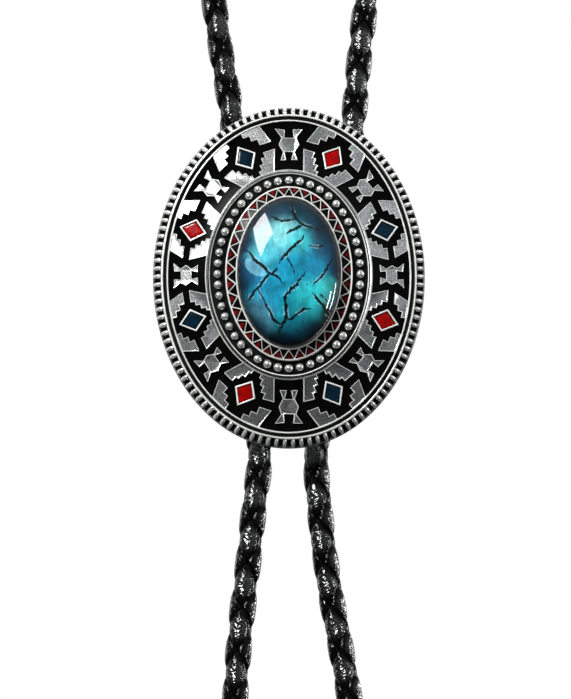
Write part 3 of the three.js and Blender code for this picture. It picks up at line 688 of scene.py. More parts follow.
def black_ground():
    """The black enamel of the band and the black of the triangle ring, two thin rings in their recesses."""
    band = [
        (BAND_OUTER + 0.05, RIM_DEPTH - RELIEF - 0.2),
        (BAND_OUTER + 0.05, RIM_DEPTH - RELIEF + 0.06),
        (BAND_OUTER - 0.2, RIM_DEPTH - RELIEF),
        (COLLAR_OUTER + 0.2, COLLAR_DEPTH - RELIEF),
        (COLLAR_OUTER - 0.05, COLLAR_DEPTH - RELIEF + 0.06),
        (COLLAR_OUTER - 0.05, COLLAR_DEPTH - RELIEF - 0.2),
    ]
    triangles = [
        (TRIANGLE_OVAL - LINE + 0.05, TRIANGLE_FOOT - 0.3),
        (TRIANGLE_OVAL - LINE + 0.05, TRIANGLE_FOOT - 0.06),
        (BEZEL_OUTER - 0.05, BEZEL_DEPTH - RELIEF + 0.06),
        (BEZEL_OUTER - 0.05, BEZEL_DEPTH - RELIEF - 0.2),
    ]
    return [oval_surface("band_black_enamel", band, BLACK_ENAMEL, ring=True),
            oval_surface("triangle_ring_black_enamel", triangles, BLACK_ENAMEL, ring=True)]


# The band of ornament

def across_band(angle, across):
    """A point of the band, straight out from its middle, and how far off the band's edge is on that side.
    Across runs from -1 at the collar to 1 outside."""
    base = BAND_MIDDLE * (math.cos(angle), math.sin(angle))
    slope = np.array((math.cos(angle), math.sin(angle))) / BAND_MIDDLE
    slope /= np.linalg.norm(slope)
    limit = BAND_OUTER if across > 0 else COLLAR_OUTER
    a = ((slope / limit) ** 2).sum()
    b = (base * slope / limit ** 2).sum()
    c = ((base / limit) ** 2).sum() - 1
    reach = abs((-b + math.sqrt(b * b - a * c)) / a)
    return base + slope * across * reach, reach


def band_pace(angle):
    """How fast the middle of the band passes by, in millimetres for each radian of the oval's angle."""
    return math.hypot(BAND_MIDDLE[0] * math.sin(angle), BAND_MIDDLE[1] * math.cos(angle))


def band_share(x, z):
    """0 on the collar's edge and 1 on the outer line, for a point anywhere near the band."""
    low, high = -0.5, 1.5
    for _ in range(18):
        share = (low + high) / 2
        ring = COLLAR_OUTER + BAND * share
        if (x / ring[0]) ** 2 + (z / ring[1]) ** 2 > 1:
            low = share
        else:
            high = share
    return (low + high) / 2


def face_depth(x, z):
    return COLLAR_DEPTH + (RIM_DEPTH - COLLAR_DEPTH) * band_share(x, z)


FIGURE_ANGLES = [math.radians(a) for a in (0, 42, 90)]
DIAMOND_ANGLES = [math.radians(a) for a in (20.3, 64.6)]
FIGURE_HALF_WIDTH = 1.9
DIAMOND_HALF_LENGTH = 2.3
DIAMOND_HALF_WIDTH = 1.92
DIAMOND_FRAME = 0.27

# Heights of the ornament from the band's face, and its raised edge line
FIGURE_TOP = -0.05
FIGURE_FOOT = -0.75
FIGURE_SINK = 0.07
EDGE_LINE = 0.17
CELL_FLOOR = -0.8
CELL_FILL = -0.17
CAST_WOBBLE = 0.035

FIGURE_HALF = [
    # along as a share of the half width, across as a share of the band's half width
    (0.38, 0.32), (0.3, 0.66), (1.0, 0.73), (0.59, 0.34), (0.85, 0.05),
    (0.55, -0.27), (0.92, -0.6), (0.24, -0.6), (0.38, -0.26),
]
OUTER_STEPS = [
    # along as a share of the way from the diamond to the figure, across as above
    (0.16, 1.04), (0.16, 0.76), (0.27, 0.76), (0.27, 0.51), (0.385, 0.51), (0.385, 0.25), (0.64, 0.25),
    (0.49, 1.04),
]
INNER_STEPS = [
    (0.4, -0.1), (0.4, -0.33), (0.31, -0.33), (0.31, -0.58), (0.21, -0.58), (0.21, -0.82), (0.12, -0.82),
    (0.12, -1.04), (0.53, -1.04), (0.67, -0.1),
]
MIRRORS = [(1, 1), (-1, 1), (-1, -1), (1, -1)]


def mirrored(outline, turn):
    return [(x * turn[0], z * turn[1]) for x, z in outline]


def outline_of(rows, angle_at):
    return [tuple(across_band(angle_at(along), across)[0]) for along, across in rows]


def figure_outlines():
    whole = FIGURE_HALF + [(-along, across) for along, across in FIGURE_HALF][::-1]
    made = []
    for angle, turns in zip(FIGURE_ANGLES, ([(1, 1), (-1, 1)], MIRRORS, [(1, 1), (1, -1)])):
        outline = outline_of(whole, lambda along: angle + along * FIGURE_HALF_WIDTH / band_pace(angle))
        made += [mirrored(outline, turn) for turn in turns]
    return made


def stepped_outlines():
    """The steps on both sides of each diamond, towards the figure next to it."""
    made = []
    for d, f in ((0, 0), (0, 1), (1, 1), (1, 2)):
        start, stop = DIAMOND_ANGLES[d], FIGURE_ANGLES[f]
        for rows in (OUTER_STEPS, INNER_STEPS):
            outline = outline_of(rows, lambda along: start + (stop - start) * along)
            made += [mirrored(outline, turn) for turn in MIRRORS]
    return made


def diamond_outline(angle, inset, turn):
    """A diamond of the band, shrunk by an inset on every side."""
    shrink = 1 - inset * math.hypot(1 / DIAMOND_HALF_WIDTH, 1 / DIAMOND_HALF_LENGTH)
    reach = across_band(angle, 1)[1]
    rows = [(along * shrink, across * shrink * DIAMOND_HALF_LENGTH / reach)
            for along, across in ((0, 1), (1, 0), (0, -1), (-1, 0))]
    outline = outline_of(rows, lambda along: angle + along * DIAMOND_HALF_WIDTH / band_pace(angle))
    return mirrored(outline, turn)


DIAMONDS = [(angle, turn) for angle in DIAMOND_ANGLES for turn in MIRRORS]


def anticlockwise(outline):
    area = sum(x0 * z1 - x1 * z0 for (x0, z0), (x1, z1) in zip(outline, outline[1:] + outline[:1]))
    return outline if area > 0 else outline[::-1]


def add_raised(bm, layer, outline):
    """One raised piece in flat space: a bright line round its edge, a satin face let down inside it, and
    walls down to its foot. Heights are measured from the band's face, which bends it afterwards."""
    corners = [bm.verts.new((x, z, FIGURE_TOP)) for x, z in anticlockwise(outline)]
    face = bm.faces.new(corners)
    walls = bmesh.ops.extrude_edge_only(bm, edges=list(face.edges))["geom"]
    for v in (g for g in walls if isinstance(g, bmesh.types.BMVert)):
        v.co.z = FIGURE_FOOT
    for v in corners:
        v[layer] = 1.0
    for thickness, sunk, shine in ((EDGE_LINE, 0.4, 0.75), (EDGE_LINE * 0.45, 1.0, 0.12)):
        bmesh.ops.inset_individual(bm, faces=[face], thickness=thickness, depth=0.0)
        for v in face.verts:
            v.co.z = FIGURE_TOP - FIGURE_SINK * sunk
            v[layer] = shine


def crest_of(bm, top):
    """The edges where a top meets its walls."""
    level = [e for e in bm.edges if all(abs(v.co.z - top) < 1e-6 for v in e.verts)]
    return [e for e in level if any(v.co.z < top - 0.1 for f in e.link_faces for v in f.verts)]


def bent_to_face(bm, name, dark_below):
    """Ends metal that was built flat: it is bent to the band's face, and is black below a height."""
    recess = []
    for v in bm.verts:
        x, z, height = v.co
        recess.append(1.0 if height < dark_below else 0.0)
        v.co = place(x, z, face_depth(x, z) + height)
    made = finished(name, mesh_from(bm, name), ZINC, 35.0)
    set_attribute(made.data, "recess", recess)
    return made


def ornament(name, outlines, seed):
    """Raised pieces of the band, each cast a little unevenly."""
    rng = random.Random(seed)
    bm = bmesh.new()
    # Polished edges are worn bright and carry a painted highlight
    layer = bm.verts.layers.float.new("polish")
    for outline in outlines:
        uneven = [(x + rng.gauss(0, CAST_WOBBLE), z + rng.gauss(0, CAST_WOBBLE)) for x, z in outline]
        add_raised(bm, layer, uneven)
    bmesh.ops.bevel(bm, geom=crest_of(bm, FIGURE_TOP), offset=0.055, segments=2, profile=0.6,
                    affect="EDGES", clamp_overlap=True)
    bmesh.ops.triangulate(bm, faces=[f for f in bm.faces if len(f.verts) > 4])
    return bent_to_face(bm, name, -0.35)


def diamond_frames():
    """Frames of the enamel cells: a bright frame with its inner walls let down to the cell's floor."""
    bm = bmesh.new()
    # The frames' polished tops are worn bright and carry a painted highlight
    layer = bm.verts.layers.float.new("polish")
    top = 0.0
    for angle, turn in DIAMONDS:
        outer = anticlockwise(diamond_outline(angle, 0.0, turn))
        inner = anticlockwise(diamond_outline(angle, DIAMOND_FRAME, turn))
        rows = []
        for outline, height, shine in ((outer, FIGURE_FOOT, 0.0), (outer, top, 1.0), (inner, top, 1.0),
                                       (inner, CELL_FLOOR, 0.0)):
            row = [bm.verts.new((x, z, height)) for x, z in outline]
            for v in row:
                v[layer] = shine
            rows.append(row)
        for low, high in zip(rows, rows[1:]):
            for k in range(4):
                n = (k + 1) % 4
                bm.faces.new((low[k], low[n], high[n], high[k]))
        bm.faces.new(rows[-1])
    bmesh.ops.bevel(bm, geom=crest_of(bm, top), offset=0.115, segments=4, profile=0.5, affect="EDGES",
                    clamp_overlap=True)
    bmesh.ops.subdivide_edges(bm, edges=[e for e in bm.edges if e.calc_length() > 1.2], cuts=3)
    return bent_to_face(bm, "diamond_frames", -0.2)


def cell_enamel(name, angle, turn, material):
    """Enamel in one diamond cell: it climbs a little at the walls, and its face is flat in between."""
    rim = np.array(anticlockwise(diamond_outline(angle, DIAMOND_FRAME + 0.1, turn)))
    middle = rim.mean(axis=0)
    edge_points = 6
    rows = []
    for share, height in ((1.0, -0.78), (1.0, -0.3), (0.95, -0.2), (0.85, CELL_FILL), (0.6, CELL_FILL),
                          (0.3, CELL_FILL), (0.0, CELL_FILL)):
        row = []
        for k in range(4):
            for s in range(edge_points):
                spot = rim[k] + (rim[(k + 1) % 4] - rim[k]) * s / edge_points
                x, z = middle + (spot - middle) * share
                row.append(place(x, z, face_depth(x, z) + height))
        rows.append(row if share > 0 else row[:1])
    return lathed(name, rows, material, 40.0, way=-1, cap=True)


TRIANGLE_COUNT = 35


def triangle_corners():
    """Angles of the zigzag's turns: even ones lie at the outer line and odd ones at the bezel."""
    return [QUARTER + i * math.pi / TRIANGLE_COUNT for i in range(2 * TRIANGLE_COUNT)]


def zigzag_ring():
    """The silver strip that parts the red triangles from the black ones, rounded on top."""
    half = 0.16
    ends = [(TRIANGLE_OVAL - LINE / 2 - half, TRIANGLE_FOOT + 0.12),
            (BEZEL_OUTER + half - BEZEL_WALL / 2, BEZEL_DEPTH - 0.1)]
    side = [(1.0, -0.5), (0.95, -0.14), (0.6, -0.03)]
    section = side + [(0.0, 0.03)] + [(-out, lift) for out, lift in side[::-1]]
    verts, faces, recess = [], [], []
    turns = triangle_corners()
    rng = random.Random(5)
    for i, angle in enumerate(turns):
        ring, depth = ends[i % 2]
        angle += rng.gauss(0, 0.004)
        for out, lift in section:
            x, z = (ring + out * half) * (math.cos(angle), math.sin(angle))
            verts.append(place(x, z, depth + lift))
            recess.append(1.0 if lift < -0.3 else 0.0)
    count = len(section)
    for i in range(len(turns)):
        here, following = i * count, ((i + 1) % len(turns)) * count
        for k in range(count):
            n = (k + 1) % count
            faces.append((here + k, following + k, following + n, here + n))
    made = object_from("zigzag_ring", verts, faces, ZINC, 50.0)
    set_attribute(made.data, "recess", recess)
    # Polished all over: worn bright, with a painted highlight
    set_attribute(made.data, "polish", [1.0] * len(verts))
    return made


def red_triangles():
    """Dark red enamel in the triangles that stand on the outer line, filled to just under the strip."""
    outer = TRIANGLE_OVAL - LINE
    inner = BEZEL_OUTER + 0.55
    trim = 0.24
    verts, faces = [], []
    turns = triangle_corners()
    for i in range(1, len(turns), 2):
        before = turns[i - 1]
        after = turns[i + 1] if i + 1 < len(turns) else turns[0] + TURN
        corners = [(outer, before + trim * (after - before)), (outer, (before + after) / 2),
                   (outer, after - trim * (after - before)), (inner, (before + after) / 2)]
        base = len(verts)
        for lift in (0.0, -0.25):
            for ring, angle in corners:
                share = 0 if ring is outer else 1
                depth = TRIANGLE_FOOT + 0.04 + share * (BEZEL_DEPTH - TRIANGLE_FOOT - 0.3) + lift
                x, z = ring * (math.cos(angle), math.sin(angle))
                verts.append(place(x, z, depth))
        faces.append((base, base + 1, base + 2, base + 3))
        faces.append((base + 7, base + 6, base + 5, base + 4))
        for k in range(4):
            n = (k + 1) % 4
            faces.append((base + k, base + 4 + k, base + 4 + n, base + n))
    return object_from("red_triangles", verts, faces, DARK_RED_ENAMEL, 30.0)


# Repeated round ornament, by Geometry Nodes

STUD_SIZES = [
    ("Count", "NodeSocketInt", 48), ("Half Width", "NodeSocketFloat", 0.01),
    ("Half Height", "NodeSocketFloat", 0.01), ("Stud Width", "NodeSocketFloat", 0.001),
    ("Stud Length", "NodeSocketFloat", 0.001), ("Stud Height", "NodeSocketFloat", 0.001),
    ("Lean", "NodeSocketFloat", 0.0), ("Unevenness", "NodeSocketFloat", 0.05),
    ("Middle", "NodeSocketVector", (0.0, 0.0, 0.0)), ("Segments", "NodeSocketInt", 12),
    ("Rings", "NodeSocketInt", 8), ("Finish", "NodeSocketMaterial", None), ("Seed", "NodeSocketInt", 1),
]


def studs_on_oval():
    """Round studs at even steps along an oval that lies in the slide's face. Each is a squashed ball whose
    long way points out from the oval and tips by Lean towards the back."""
    group = bpy.data.node_groups.new("studs_on_oval", "GeometryNodeTree")
    for name, kind, value in STUD_SIZES:
        socket = group.interface.new_socket(name=name, in_out="INPUT", socket_type=kind)
        socket.default_value = value
    group.interface.new_socket(name="Geometry", in_out="OUTPUT", socket_type="NodeSocketGeometry")
    size = add(group, "NodeGroupInput").outputs
    circle = add(group, "GeometryNodeCurvePrimitiveCircle", {"Resolution": 720, "Radius": 1.0})
    stretch = add(group, "ShaderNodeCombineXYZ",
                  {"X": size["Half Width"], "Y": size["Half Height"], "Z": 1.0})
    oval = add(group, "GeometryNodeTransform", {"Geometry": circle, "Scale": stretch})
    # The studs' places, and the way out from the oval at each
    spots = add(group, "GeometryNodeResampleCurve", {"Curve": oval, "Count": size["Count"]}, mode="COUNT")
    points = add(group, "GeometryNodeCurveToPoints", {"Curve": spots}, mode="EVALUATED")
    here = add(group, "GeometryNodeInputPosition")
    squared = add(group, "ShaderNodeVectorMath", {0: stretch, 1: stretch}, operation="MULTIPLY")
    outward = add(group, "ShaderNodeVectorMath", {0: here, 1: squared}, operation="DIVIDE")
    unit = add(group, "ShaderNodeVectorMath", {0: outward}, operation="NORMALIZE")
    cosine = add(group, "ShaderNodeMath", {0: size["Lean"]}, operation="COSINE")
    sine = add(group, "ShaderNodeMath", {0: size["Lean"]}, operation="SINE")
    flat = add(group, "ShaderNodeVectorMath", {0: unit, "Scale": cosine}, operation="SCALE")
    down = add(group, "ShaderNodeMath", {0: sine, 1: -1.0}, operation="MULTIPLY")
    drop = add(group, "ShaderNodeCombineXYZ", {"Z": down})
    long_way = add(group, "ShaderNodeVectorMath", {0: flat, 1: drop}, operation="ADD")
    first = add(group, "FunctionNodeAlignRotationToVector", {"Vector": long_way}, axis="Y")
    second = add(group, "FunctionNodeAlignRotationToVector",
                 {"Rotation": first, "Vector": points.outputs["Tangent"]}, axis="X", pivot_axis="Y")
    # One ball, and its size at each place
    ball = add(group, "GeometryNodeMeshUVSphere", {"Segments": size["Segments"], "Rings": size["Rings"],
                                                  "Radius": 0.5})
    shape = add(group, "ShaderNodeCombineXYZ",
                {"X": size["Stud Width"], "Y": size["Stud Length"], "Z": size["Stud Height"]})
    limits = []
    for way in ("SUBTRACT", "ADD"):
        limit = add(group, "ShaderNodeMath", {0: 1.0, 1: size["Unevenness"]}, operation=way)
        limits.append(add(group, "ShaderNodeCombineXYZ", {"X": limit, "Y": limit, "Z": limit}))
    vary = add(group, "FunctionNodeRandomValue", {0: limits[0], 1: limits[1], "Seed": size["Seed"]},
               data_type="FLOAT_VECTOR")
    scale = add(group, "ShaderNodeVectorMath", {0: shape, 1: vary}, operation="MULTIPLY")
    studs = add(group, "GeometryNodeInstanceOnPoints",
                {"Points": points, "Instance": ball, "Rotation": second, "Scale": scale})
    real = add(group, "GeometryNodeRealizeInstances", {0: studs})
    upright = add(group, "GeometryNodeTransform",
                  {"Geometry": real, "Rotation": (QUARTER, 0.0, 0.0), "Translation": size["Middle"]})
    smooth = add(group, "GeometryNodeSetShadeSmooth", {"Geometry": upright})
    dressed = add(group, "GeometryNodeSetMaterial", {"Geometry": smooth, "Material": size["Finish"]})
    add(group, "NodeGroupOutput", {0: dressed})
    return group


def ring_of_studs(name, group, ring, depth, stud, sizes):
    """Metal studs on an oval of the slide, each with its width, length and height, as a plain mesh. Also
    gives where their corners lie: across the slide, up from its middle, and forward of its back."""
    sizes = sizes | {
        "Half Width": ring[0] * MM, "Half Height": ring[1] * MM, "Middle": place(0, 0, depth),
        "Stud Width": stud[0] * MM, "Stud Length": stud[1] * MM, "Stud Height": stud[2] * MM, "Finish": ZINC,
    }
    carrier = new_object(name, bpy.data.meshes.new(name))
    modifier = carrier.modifiers.new("studs", "NODES")
    modifier.node_group = group
    for item in group.interface.items_tree:
        if item.item_type == "SOCKET" and item.in_out == "INPUT":
            modifier[item.identifier] = sizes[item.name]
    made = applied(carrier, ZINC)
    spots = np.empty(len(made.data.vertices) * 3, dtype=np.float32)
    made.data.vertices.foreach_get("co", spots)
    x, y, z = spots.reshape(-1, 3).T / MM
    return made, (x, z + SLIDE_DROP, -y - SLIDE_FORWARD)


def channel_beads(group):
    """Beads in the channel inside the collar, black in the recess under their widest line."""
    beads, (_, _, depth) = ring_of_studs(
        "channel_beads", group, TRIANGLE_OVAL + BEAD_CHANNEL / 2, BEAD_FLOOR + 0.3, (1.4, 1.4, 1.35),
        {"Count": 48, "Lean": 0.0, "Unevenness": 0.06, "Segments": 16, "Rings": 10, "Seed": 3})
    dark_below = BEAD_FLOOR + 0.2
    set_attribute(beads.data, "recess", np.clip((dark_below - depth) / 0.15, 0, 1))
    # The beads' tops are worn bright, with a painted highlight
    set_attribute(beads.data, "polish", np.clip((depth - dark_below) / 0.25, 0, 0.71))
    return beads


def rim_ribs(group):
    """Short round bars across the groove between the rim's line and its outer ledge, black at their feet."""
    ribs, (x, z, depth) = ring_of_studs(
        "rim_ribs", group, RIM_OVAL + 0.52, RIM_DEPTH - 1.0, (0.84, 2.0, 1.1),
        {"Count": 114, "Lean": math.radians(42), "Unevenness": 0.05, "Segments": 12, "Rings": 8, "Seed": 4})
    outward = (np.sqrt((x / RIM_OVAL[0]) ** 2 + (z / RIM_OVAL[1]) ** 2) - 1) * 25
    proud = depth - (RIM_DEPTH - 0.95 - 0.9 * (outward - 0.5))
    set_attribute(ribs.data, "recess", np.clip(0.5 - proud * 3.0, 0, 1))
    # The ribs' proud parts are worn bright, with a painted highlight
    set_attribute(ribs.data, "polish", np.clip(proud * 2.5, 0, 0.8))
    return ribs


# The stone

CRACKS = [
    # Each crack: its width, then its points across and up from the stone's middle
    (0.32, [(0.4, 11.1), (0.6, 9.7), (1.1, 8.5), (1.8, 7.6), (2.5, 7.1), (3.6, 6.9), (5.0, 6.6)]),
    (0.30, [(-2.8, 8.8), (-2.0, 8.3), (-1.1, 7.8), (0.1, 8.0), (1.1, 8.2)]),
    (0.42, [(2.1, 7.2), (1.3, 6.8), (0.3, 6.3), (-0.3, 5.6)]),
    (0.36, [(2.4, 5.5), (2.1, 4.7), (1.1, 4.1), (0.2, 3.2), (-0.5, 2.2), (-1.3, 1.4), (-1.6, 0.9)]),
    (0.30, [(-1.9, 0.1), (-2.3, -0.4), (-2.7, -0.8)]),
    (0.36, [(-7.1, 3.4), (-6.2, 2.7), (-5.6, 1.7), (-4.8, 1.0), (-4.0, 0.3), (-3.4, -0.5), (-2.9, -0.8),
            (-2.0, -1.0), (-1.4, -1.6), (-1.2, -2.3)]),
    (0.34, [(-2.9, -0.8), (-3.6, -1.2), (-4.2, -2.1), (-4.9, -2.9), (-5.6, -3.6), (-6.2, -4.4),
            (-6.7, -5.1)]),
    (0.20, [(-4.9, -3.0), (-4.6, -3.9), (-4.0, -5.1)]),
    (0.34, [(-4.0, -5.1), (-3.6, -6.1), (-2.9, -6.9), (-2.5, -8.1), (-1.8, -8.7), (-1.3, -8.9)]),
    (0.38, [(2.7, -0.6), (2.1, -1.3), (1.3, -2.5), (0.3, -3.3), (-0.5, -4.4), (-0.6, -5.2), (-0.5, -6.6),
            (-0.4, -7.7), (-0.6, -8.4), (-1.1, -9.0), (-1.5, -9.8), (-1.7, -10.6)]),
    (0.32, [(-0.6, -8.4), (0.5, -7.9), (1.5, -7.1), (2.3, -6.6), (3.5, -6.3)]),
    (0.20, [(-0.3, 1.9), (0.3, 0.9), (0.7, -0.1), (0.8, -0.9)]),
    (0.20, [(3.2, 3.8), (4.4, 3.7), (6.0, 3.9)]),
    (0.26, [(6.9, 2.1), (6.4, 0.7), (5.7, -0.6), (5.0, -1.4), (4.2, -2.2), (3.9, -2.7)]),
    (0.34, [(3.7, -3.7), (4.2, -4.4), (5.0, -5.3), (5.8, -6.2), (6.4, -7.2), (6.6, -7.5)]),
    (0.22, [(4.9, -4.1), (5.8, -4.7), (6.3, -5.6)]),
    (0.34, [(-4.6, 2.75), (-4.35, 2.6)]),
    (0.26, [(2.9, -2.4), (3.05, -2.6)]),
]

# The stone's tones: their places across and up, their reach and their colour. The palest, beside the highlight
# at the upper left, is partly painted light, the glow of the window in the stone
DYE_AND_GLOW = [
    (-1.2, 6.1, 2.4, "#9df6fa"), (-3.6, 4.0, 2.4, "#5cd2e4"), (1.6, 4.6, 2.2, "#3ed0dc"),
    (0.05, 0.2, 2.6, "#149dc0"), (3.6, 0.8, 2.4, "#0c8fb6"), (-3.0, -3.6, 2.8, "#179cc2"),
    (3.6, -4.6, 2.6, "#30d2dc"), (6.2, -3.4, 1.6, "#46e6e2"), (0.6, -6.6, 2.4, "#149aae"),
    (1.4, -9.2, 1.9, "#086a80"), (-5.2, -6.9, 2.0, "#5aa6c0"), (-6.2, -0.6, 1.8, "#15608c"),
    (4.4, 6.6, 2.2, "#0c5670"), (0.6, 9.8, 2.0, "#0f5c78"), (-2.6, 9.4, 1.8, "#145f82"),
    (5.6, 3.0, 2.0, "#0b5f88"), (0.2, -12.0, 1.8, "#083450"), (-8.0, -1.6, 1.5, "#043c62"),
    (-7.3, 4.9, 1.5, "#0a4880"), (8.0, 1.0, 1.6, "#06466a"), (6.9, -7.4, 1.6, "#06485e"),
    (-6.3, -8.6, 1.8, "#064468"), (-5.0, 9.4, 1.7, "#073a62"), (6.4, 8.0, 1.8, "#043650"),
    (4.0, -10.6, 1.8, "#063c50"), (0.0, 12.2, 1.6, "#063654"),
]


def distance_to(points, line):
    """How far points lie from a broken line, and how far along it, from 0 to 1, they are nearest."""
    best = np.full(len(points), 1e9)
    share_along = np.zeros(len(points))
    total = len(line) - 1
    for i, (a, b) in enumerate(zip(line, line[1:])):
        a, b = np.array(a), np.array(b)
        way = b - a
        t = np.clip(((points - a) @ way) / (way @ way), 0, 1)
        d = np.linalg.norm(points - a - t[:, None] * way, axis=1)
        closer = d < best
        best[closer] = d[closer]
        share_along[closer] = (i + t[closer]) / total
    return best, share_along


def wavy(points, seed, size, amount):
    """Smooth wandering offsets, the sum of a few sine waves with fixed seeds."""
    rng = np.random.default_rng(seed)
    out = np.zeros(points.shape)
    for octave in range(3):
        for k in range(2):
            way = rng.normal(0, 1, 2)
            way /= np.linalg.norm(way)
            phase = points @ way * TURN / (size / 1.9 ** octave) + rng.uniform(0, TURN)
            out[:, k] += np.sin(phase) * amount / 1.7 ** octave
    return out


def stone_cabochon():
    """The domed stone, with its dyed colour, its cracks and the painted highlights beside them as attributes;
    the colour also carries painted shade, glow and reflection.
    """
    rows, segments = 100, 420
    foot = BEZEL_DEPTH - 0.12
    profile = [(1.0, SEAT_DEPTH + GAP), (1.0, foot)]
    profile += [(math.cos(a) ** 0.92, foot + (STONE_DOME + 0.12) * math.sin(a) ** 0.95)
                for a in np.linspace(0, QUARTER, rows + 1)[1:-1]]
    profile.append((0.0, BEZEL_DEPTH + STONE_DOME))
    fit = BEZEL_INNER - 0.01
    spots = [around(*(fit * share), segments) for share, _ in profile]
    rings = [[place(x, z, depth) for x, z in row] for row, (_, depth) in zip(spots, profile)]
    stone = lathed("stone", rings, STONE, 60.0, way=-1, cap=True)
    flat = np.array([spot for row in spots for spot in row])
    bent = flat + wavy(flat, 21, 3.2, 0.06) + wavy(flat, 22, 0.9, 0.035)
    crack, edge = np.zeros(len(flat)), np.zeros(len(flat))
    for n, (width, line) in enumerate(CRACKS):
        distance, along = distance_to(bent, line)
        taper = 0.35 + 0.65 * np.clip(np.minimum(along, 1 - along) * 5, 0, 1)
        rough = 1 + 0.16 * wavy(flat, 40 + n, 0.9, 1.0)[:, 0]
        half = width * 0.62 * taper * rough
        crack = np.maximum(crack, np.clip((half - distance) / 0.09 + 0.5, 0, 1))
        # Painted highlight: a pale line just outside each crack, as if light caught its lip
        beside = np.clip(1 - np.abs(distance - half - 0.1) / 0.09, 0, 1)
        inside = np.clip(np.minimum(along, 1 - along) * 6 - 0.4, 0, 1)
        edge = np.maximum(edge, beside * inside * np.clip(wavy(flat, 70 + n, 3.4, 0.8)[:, 1], 0, 0.7))
    set_attribute(stone.data, "crack", crack)
    set_attribute(stone.data, "edge", edge * (1 - crack))
    weights = np.zeros(len(flat))
    colours = np.zeros((len(flat), 3))
    for x, z, reach, code in DYE_AND_GLOW:
        distance = ((bent - (x, z)) ** 2).sum(axis=1) / reach ** 2
        weight = np.exp(-distance * 1.6) + 1e-6
        weights += weight
        colours += weight[:, None] * np.array(linear(code)[:3])
    colours /= weights[:, None]
    share = np.linalg.norm(flat / fit, axis=1)
    # Painted shade: darker towards the girdle
    colours *= 0.93 * (1 - 0.97 * np.clip((share - 0.64) / 0.35, 0, 1) ** 1.2)[:, None]
    # Painted shade: darker still towards the top, where little light falls
    colours *= 1 - 0.5 * (np.clip((share - 0.5) / 0.25, 0, 1) * np.clip((flat[:, 1] - 2) / 5, 0, 1))[:, None]
    # Painted reflection: a pale lens-shaped patch beside the crack at the left, where a soft light at the left
    # would reflect
    lean = math.radians(-40)
    off = bent - (-5.35, 0.35)
    along = off @ (math.cos(lean), math.sin(lean))
    across = off @ (-math.sin(lean), math.cos(lean))
    painted_reflection = np.clip((1 - (along / 2.3) ** 2 - (across / 1.15) ** 2) * 3, 0, 1) * 0.6
    colours += painted_reflection[:, None] * (np.array(linear("#86d6ee")[:3]) - colours)
    layer = stone.data.color_attributes.new("dye", "FLOAT_COLOR", "POINT")
    full = np.concatenate([colours, np.ones((len(flat), 1))], axis=1).astype(np.float32)
    layer.data.foreach_set("color", full.ravel())
    return stone


# The clip behind the slide: a rounded bar with a slanting channel for each cord

def channel_cutter(mid, lean):
    """A round rod along a cord's run through the clip."""
    bm = bmesh.new()
    radius = (CORD_RADIUS + GAP) * MM
    bmesh.ops.create_cone(bm, segments=48, radius1=radius, radius2=radius, depth=2 * CLIP_HEIGHT * MM,
                          cap_ends=True)
    seat = Matrix.Translation(Vector((mid, CORD_Y, -SLIDE_DROP)) * MM)
    bmesh.ops.transform(bm, verts=bm.verts[:], matrix=seat @ Matrix.Rotation(math.atan(lean), 4, "Y"))
    return new_object("channel", mesh_from(bm, "channel"))


def clip_bar():
    outer = CORD_RADIUS + GAP + CLIP_WALL
    left, right = LEFT_MID - outer + CLIP_CORNER, RIGHT_MID + outer - CLIP_CORNER
    front = -SLIDE_FORWARD + GAP + CLIP_CORNER
    back = -SLIDE_FORWARD + GAP + CLIP_DEPTH - CLIP_CORNER
    outline = []
    for cx, cy, start in ((right, front, -QUARTER), (right, back, 0.0), (left, back, QUARTER),
                          (left, front, 2 * QUARTER)):
        for angle in np.linspace(start, start + QUARTER, 11):
            outline.append((cx + CLIP_CORNER * math.cos(angle), cy + CLIP_CORNER * math.sin(angle)))
    bm = bmesh.new()
    foot = -SLIDE_DROP - CLIP_HEIGHT / 2
    face = bm.faces.new([bm.verts.new((x * MM, y * MM, foot * MM)) for x, y in outline])
    top = bmesh.ops.extrude_face_region(bm, geom=[face])["geom"]
    bmesh.ops.translate(bm, verts=[g for g in top if isinstance(g, bmesh.types.BMVert)],
                        vec=(0, 0, CLIP_HEIGHT * MM))
    bmesh.ops.recalc_face_normals(bm, faces=bm.faces[:])
    bar = new_object("clip_bar", mesh_from(bm, "clip_bar"))
    cutters = [channel_cutter(LEFT_MID, LEFT_LEAN), channel_cutter(RIGHT_MID, RIGHT_LEAN)]
    for cutter in cutters:
        cut = bar.modifiers.new("channel", "BOOLEAN")
        cut.operation, cut.object, cut.solver = "DIFFERENCE", cutter, "EXACT"
    soften = bar.modifiers.new("soften", "BEVEL")
    soften.width, soften.segments = 0.3 * MM, 3
    soften.limit_method, soften.angle_limit = "ANGLE", math.radians(50)
    made = applied(bar, CLIP_NICKEL)
    for cutter in cutters:
        bpy.data.objects.remove(cutter)
    made.data.polygons.foreach_set("use_smooth", [True] * len(made.data.polygons))
    made.data.set_sharp_from_angle(angle=math.radians(35))
    return made


# The slide's pieces, each one riding on the only body

studs = studs_on_oval()
for piece in [slide_body(), *black_ground(), zigzag_ring(), red_triangles(), diamond_frames(),
              ornament("figures", figure_outlines(), 7), ornament("stepped_pieces", stepped_outlines(), 8),
              channel_beads(studs), rim_ribs(studs)]:
    dress(piece, "slide_casting")
for i, (angle, turn) in enumerate(DIAMONDS):
    near = i < len(MIRRORS)
    red = near == (turn[0] * turn[1] < 0)
    number = 1 + (i % len(MIRRORS) >> 1) + (0 if near else 2)
    colour = "red" if red else "blue"
    cell = cell_enamel(f"{colour}_cell_{number}", angle, turn, RED_ENAMEL if red else BLUE_ENAMEL)
    dress(cell, f"{colour}_enamel_{number}")
dress(stone_cabochon(), "stone_cabochon")
dress(clip_bar(), "cord_clip")


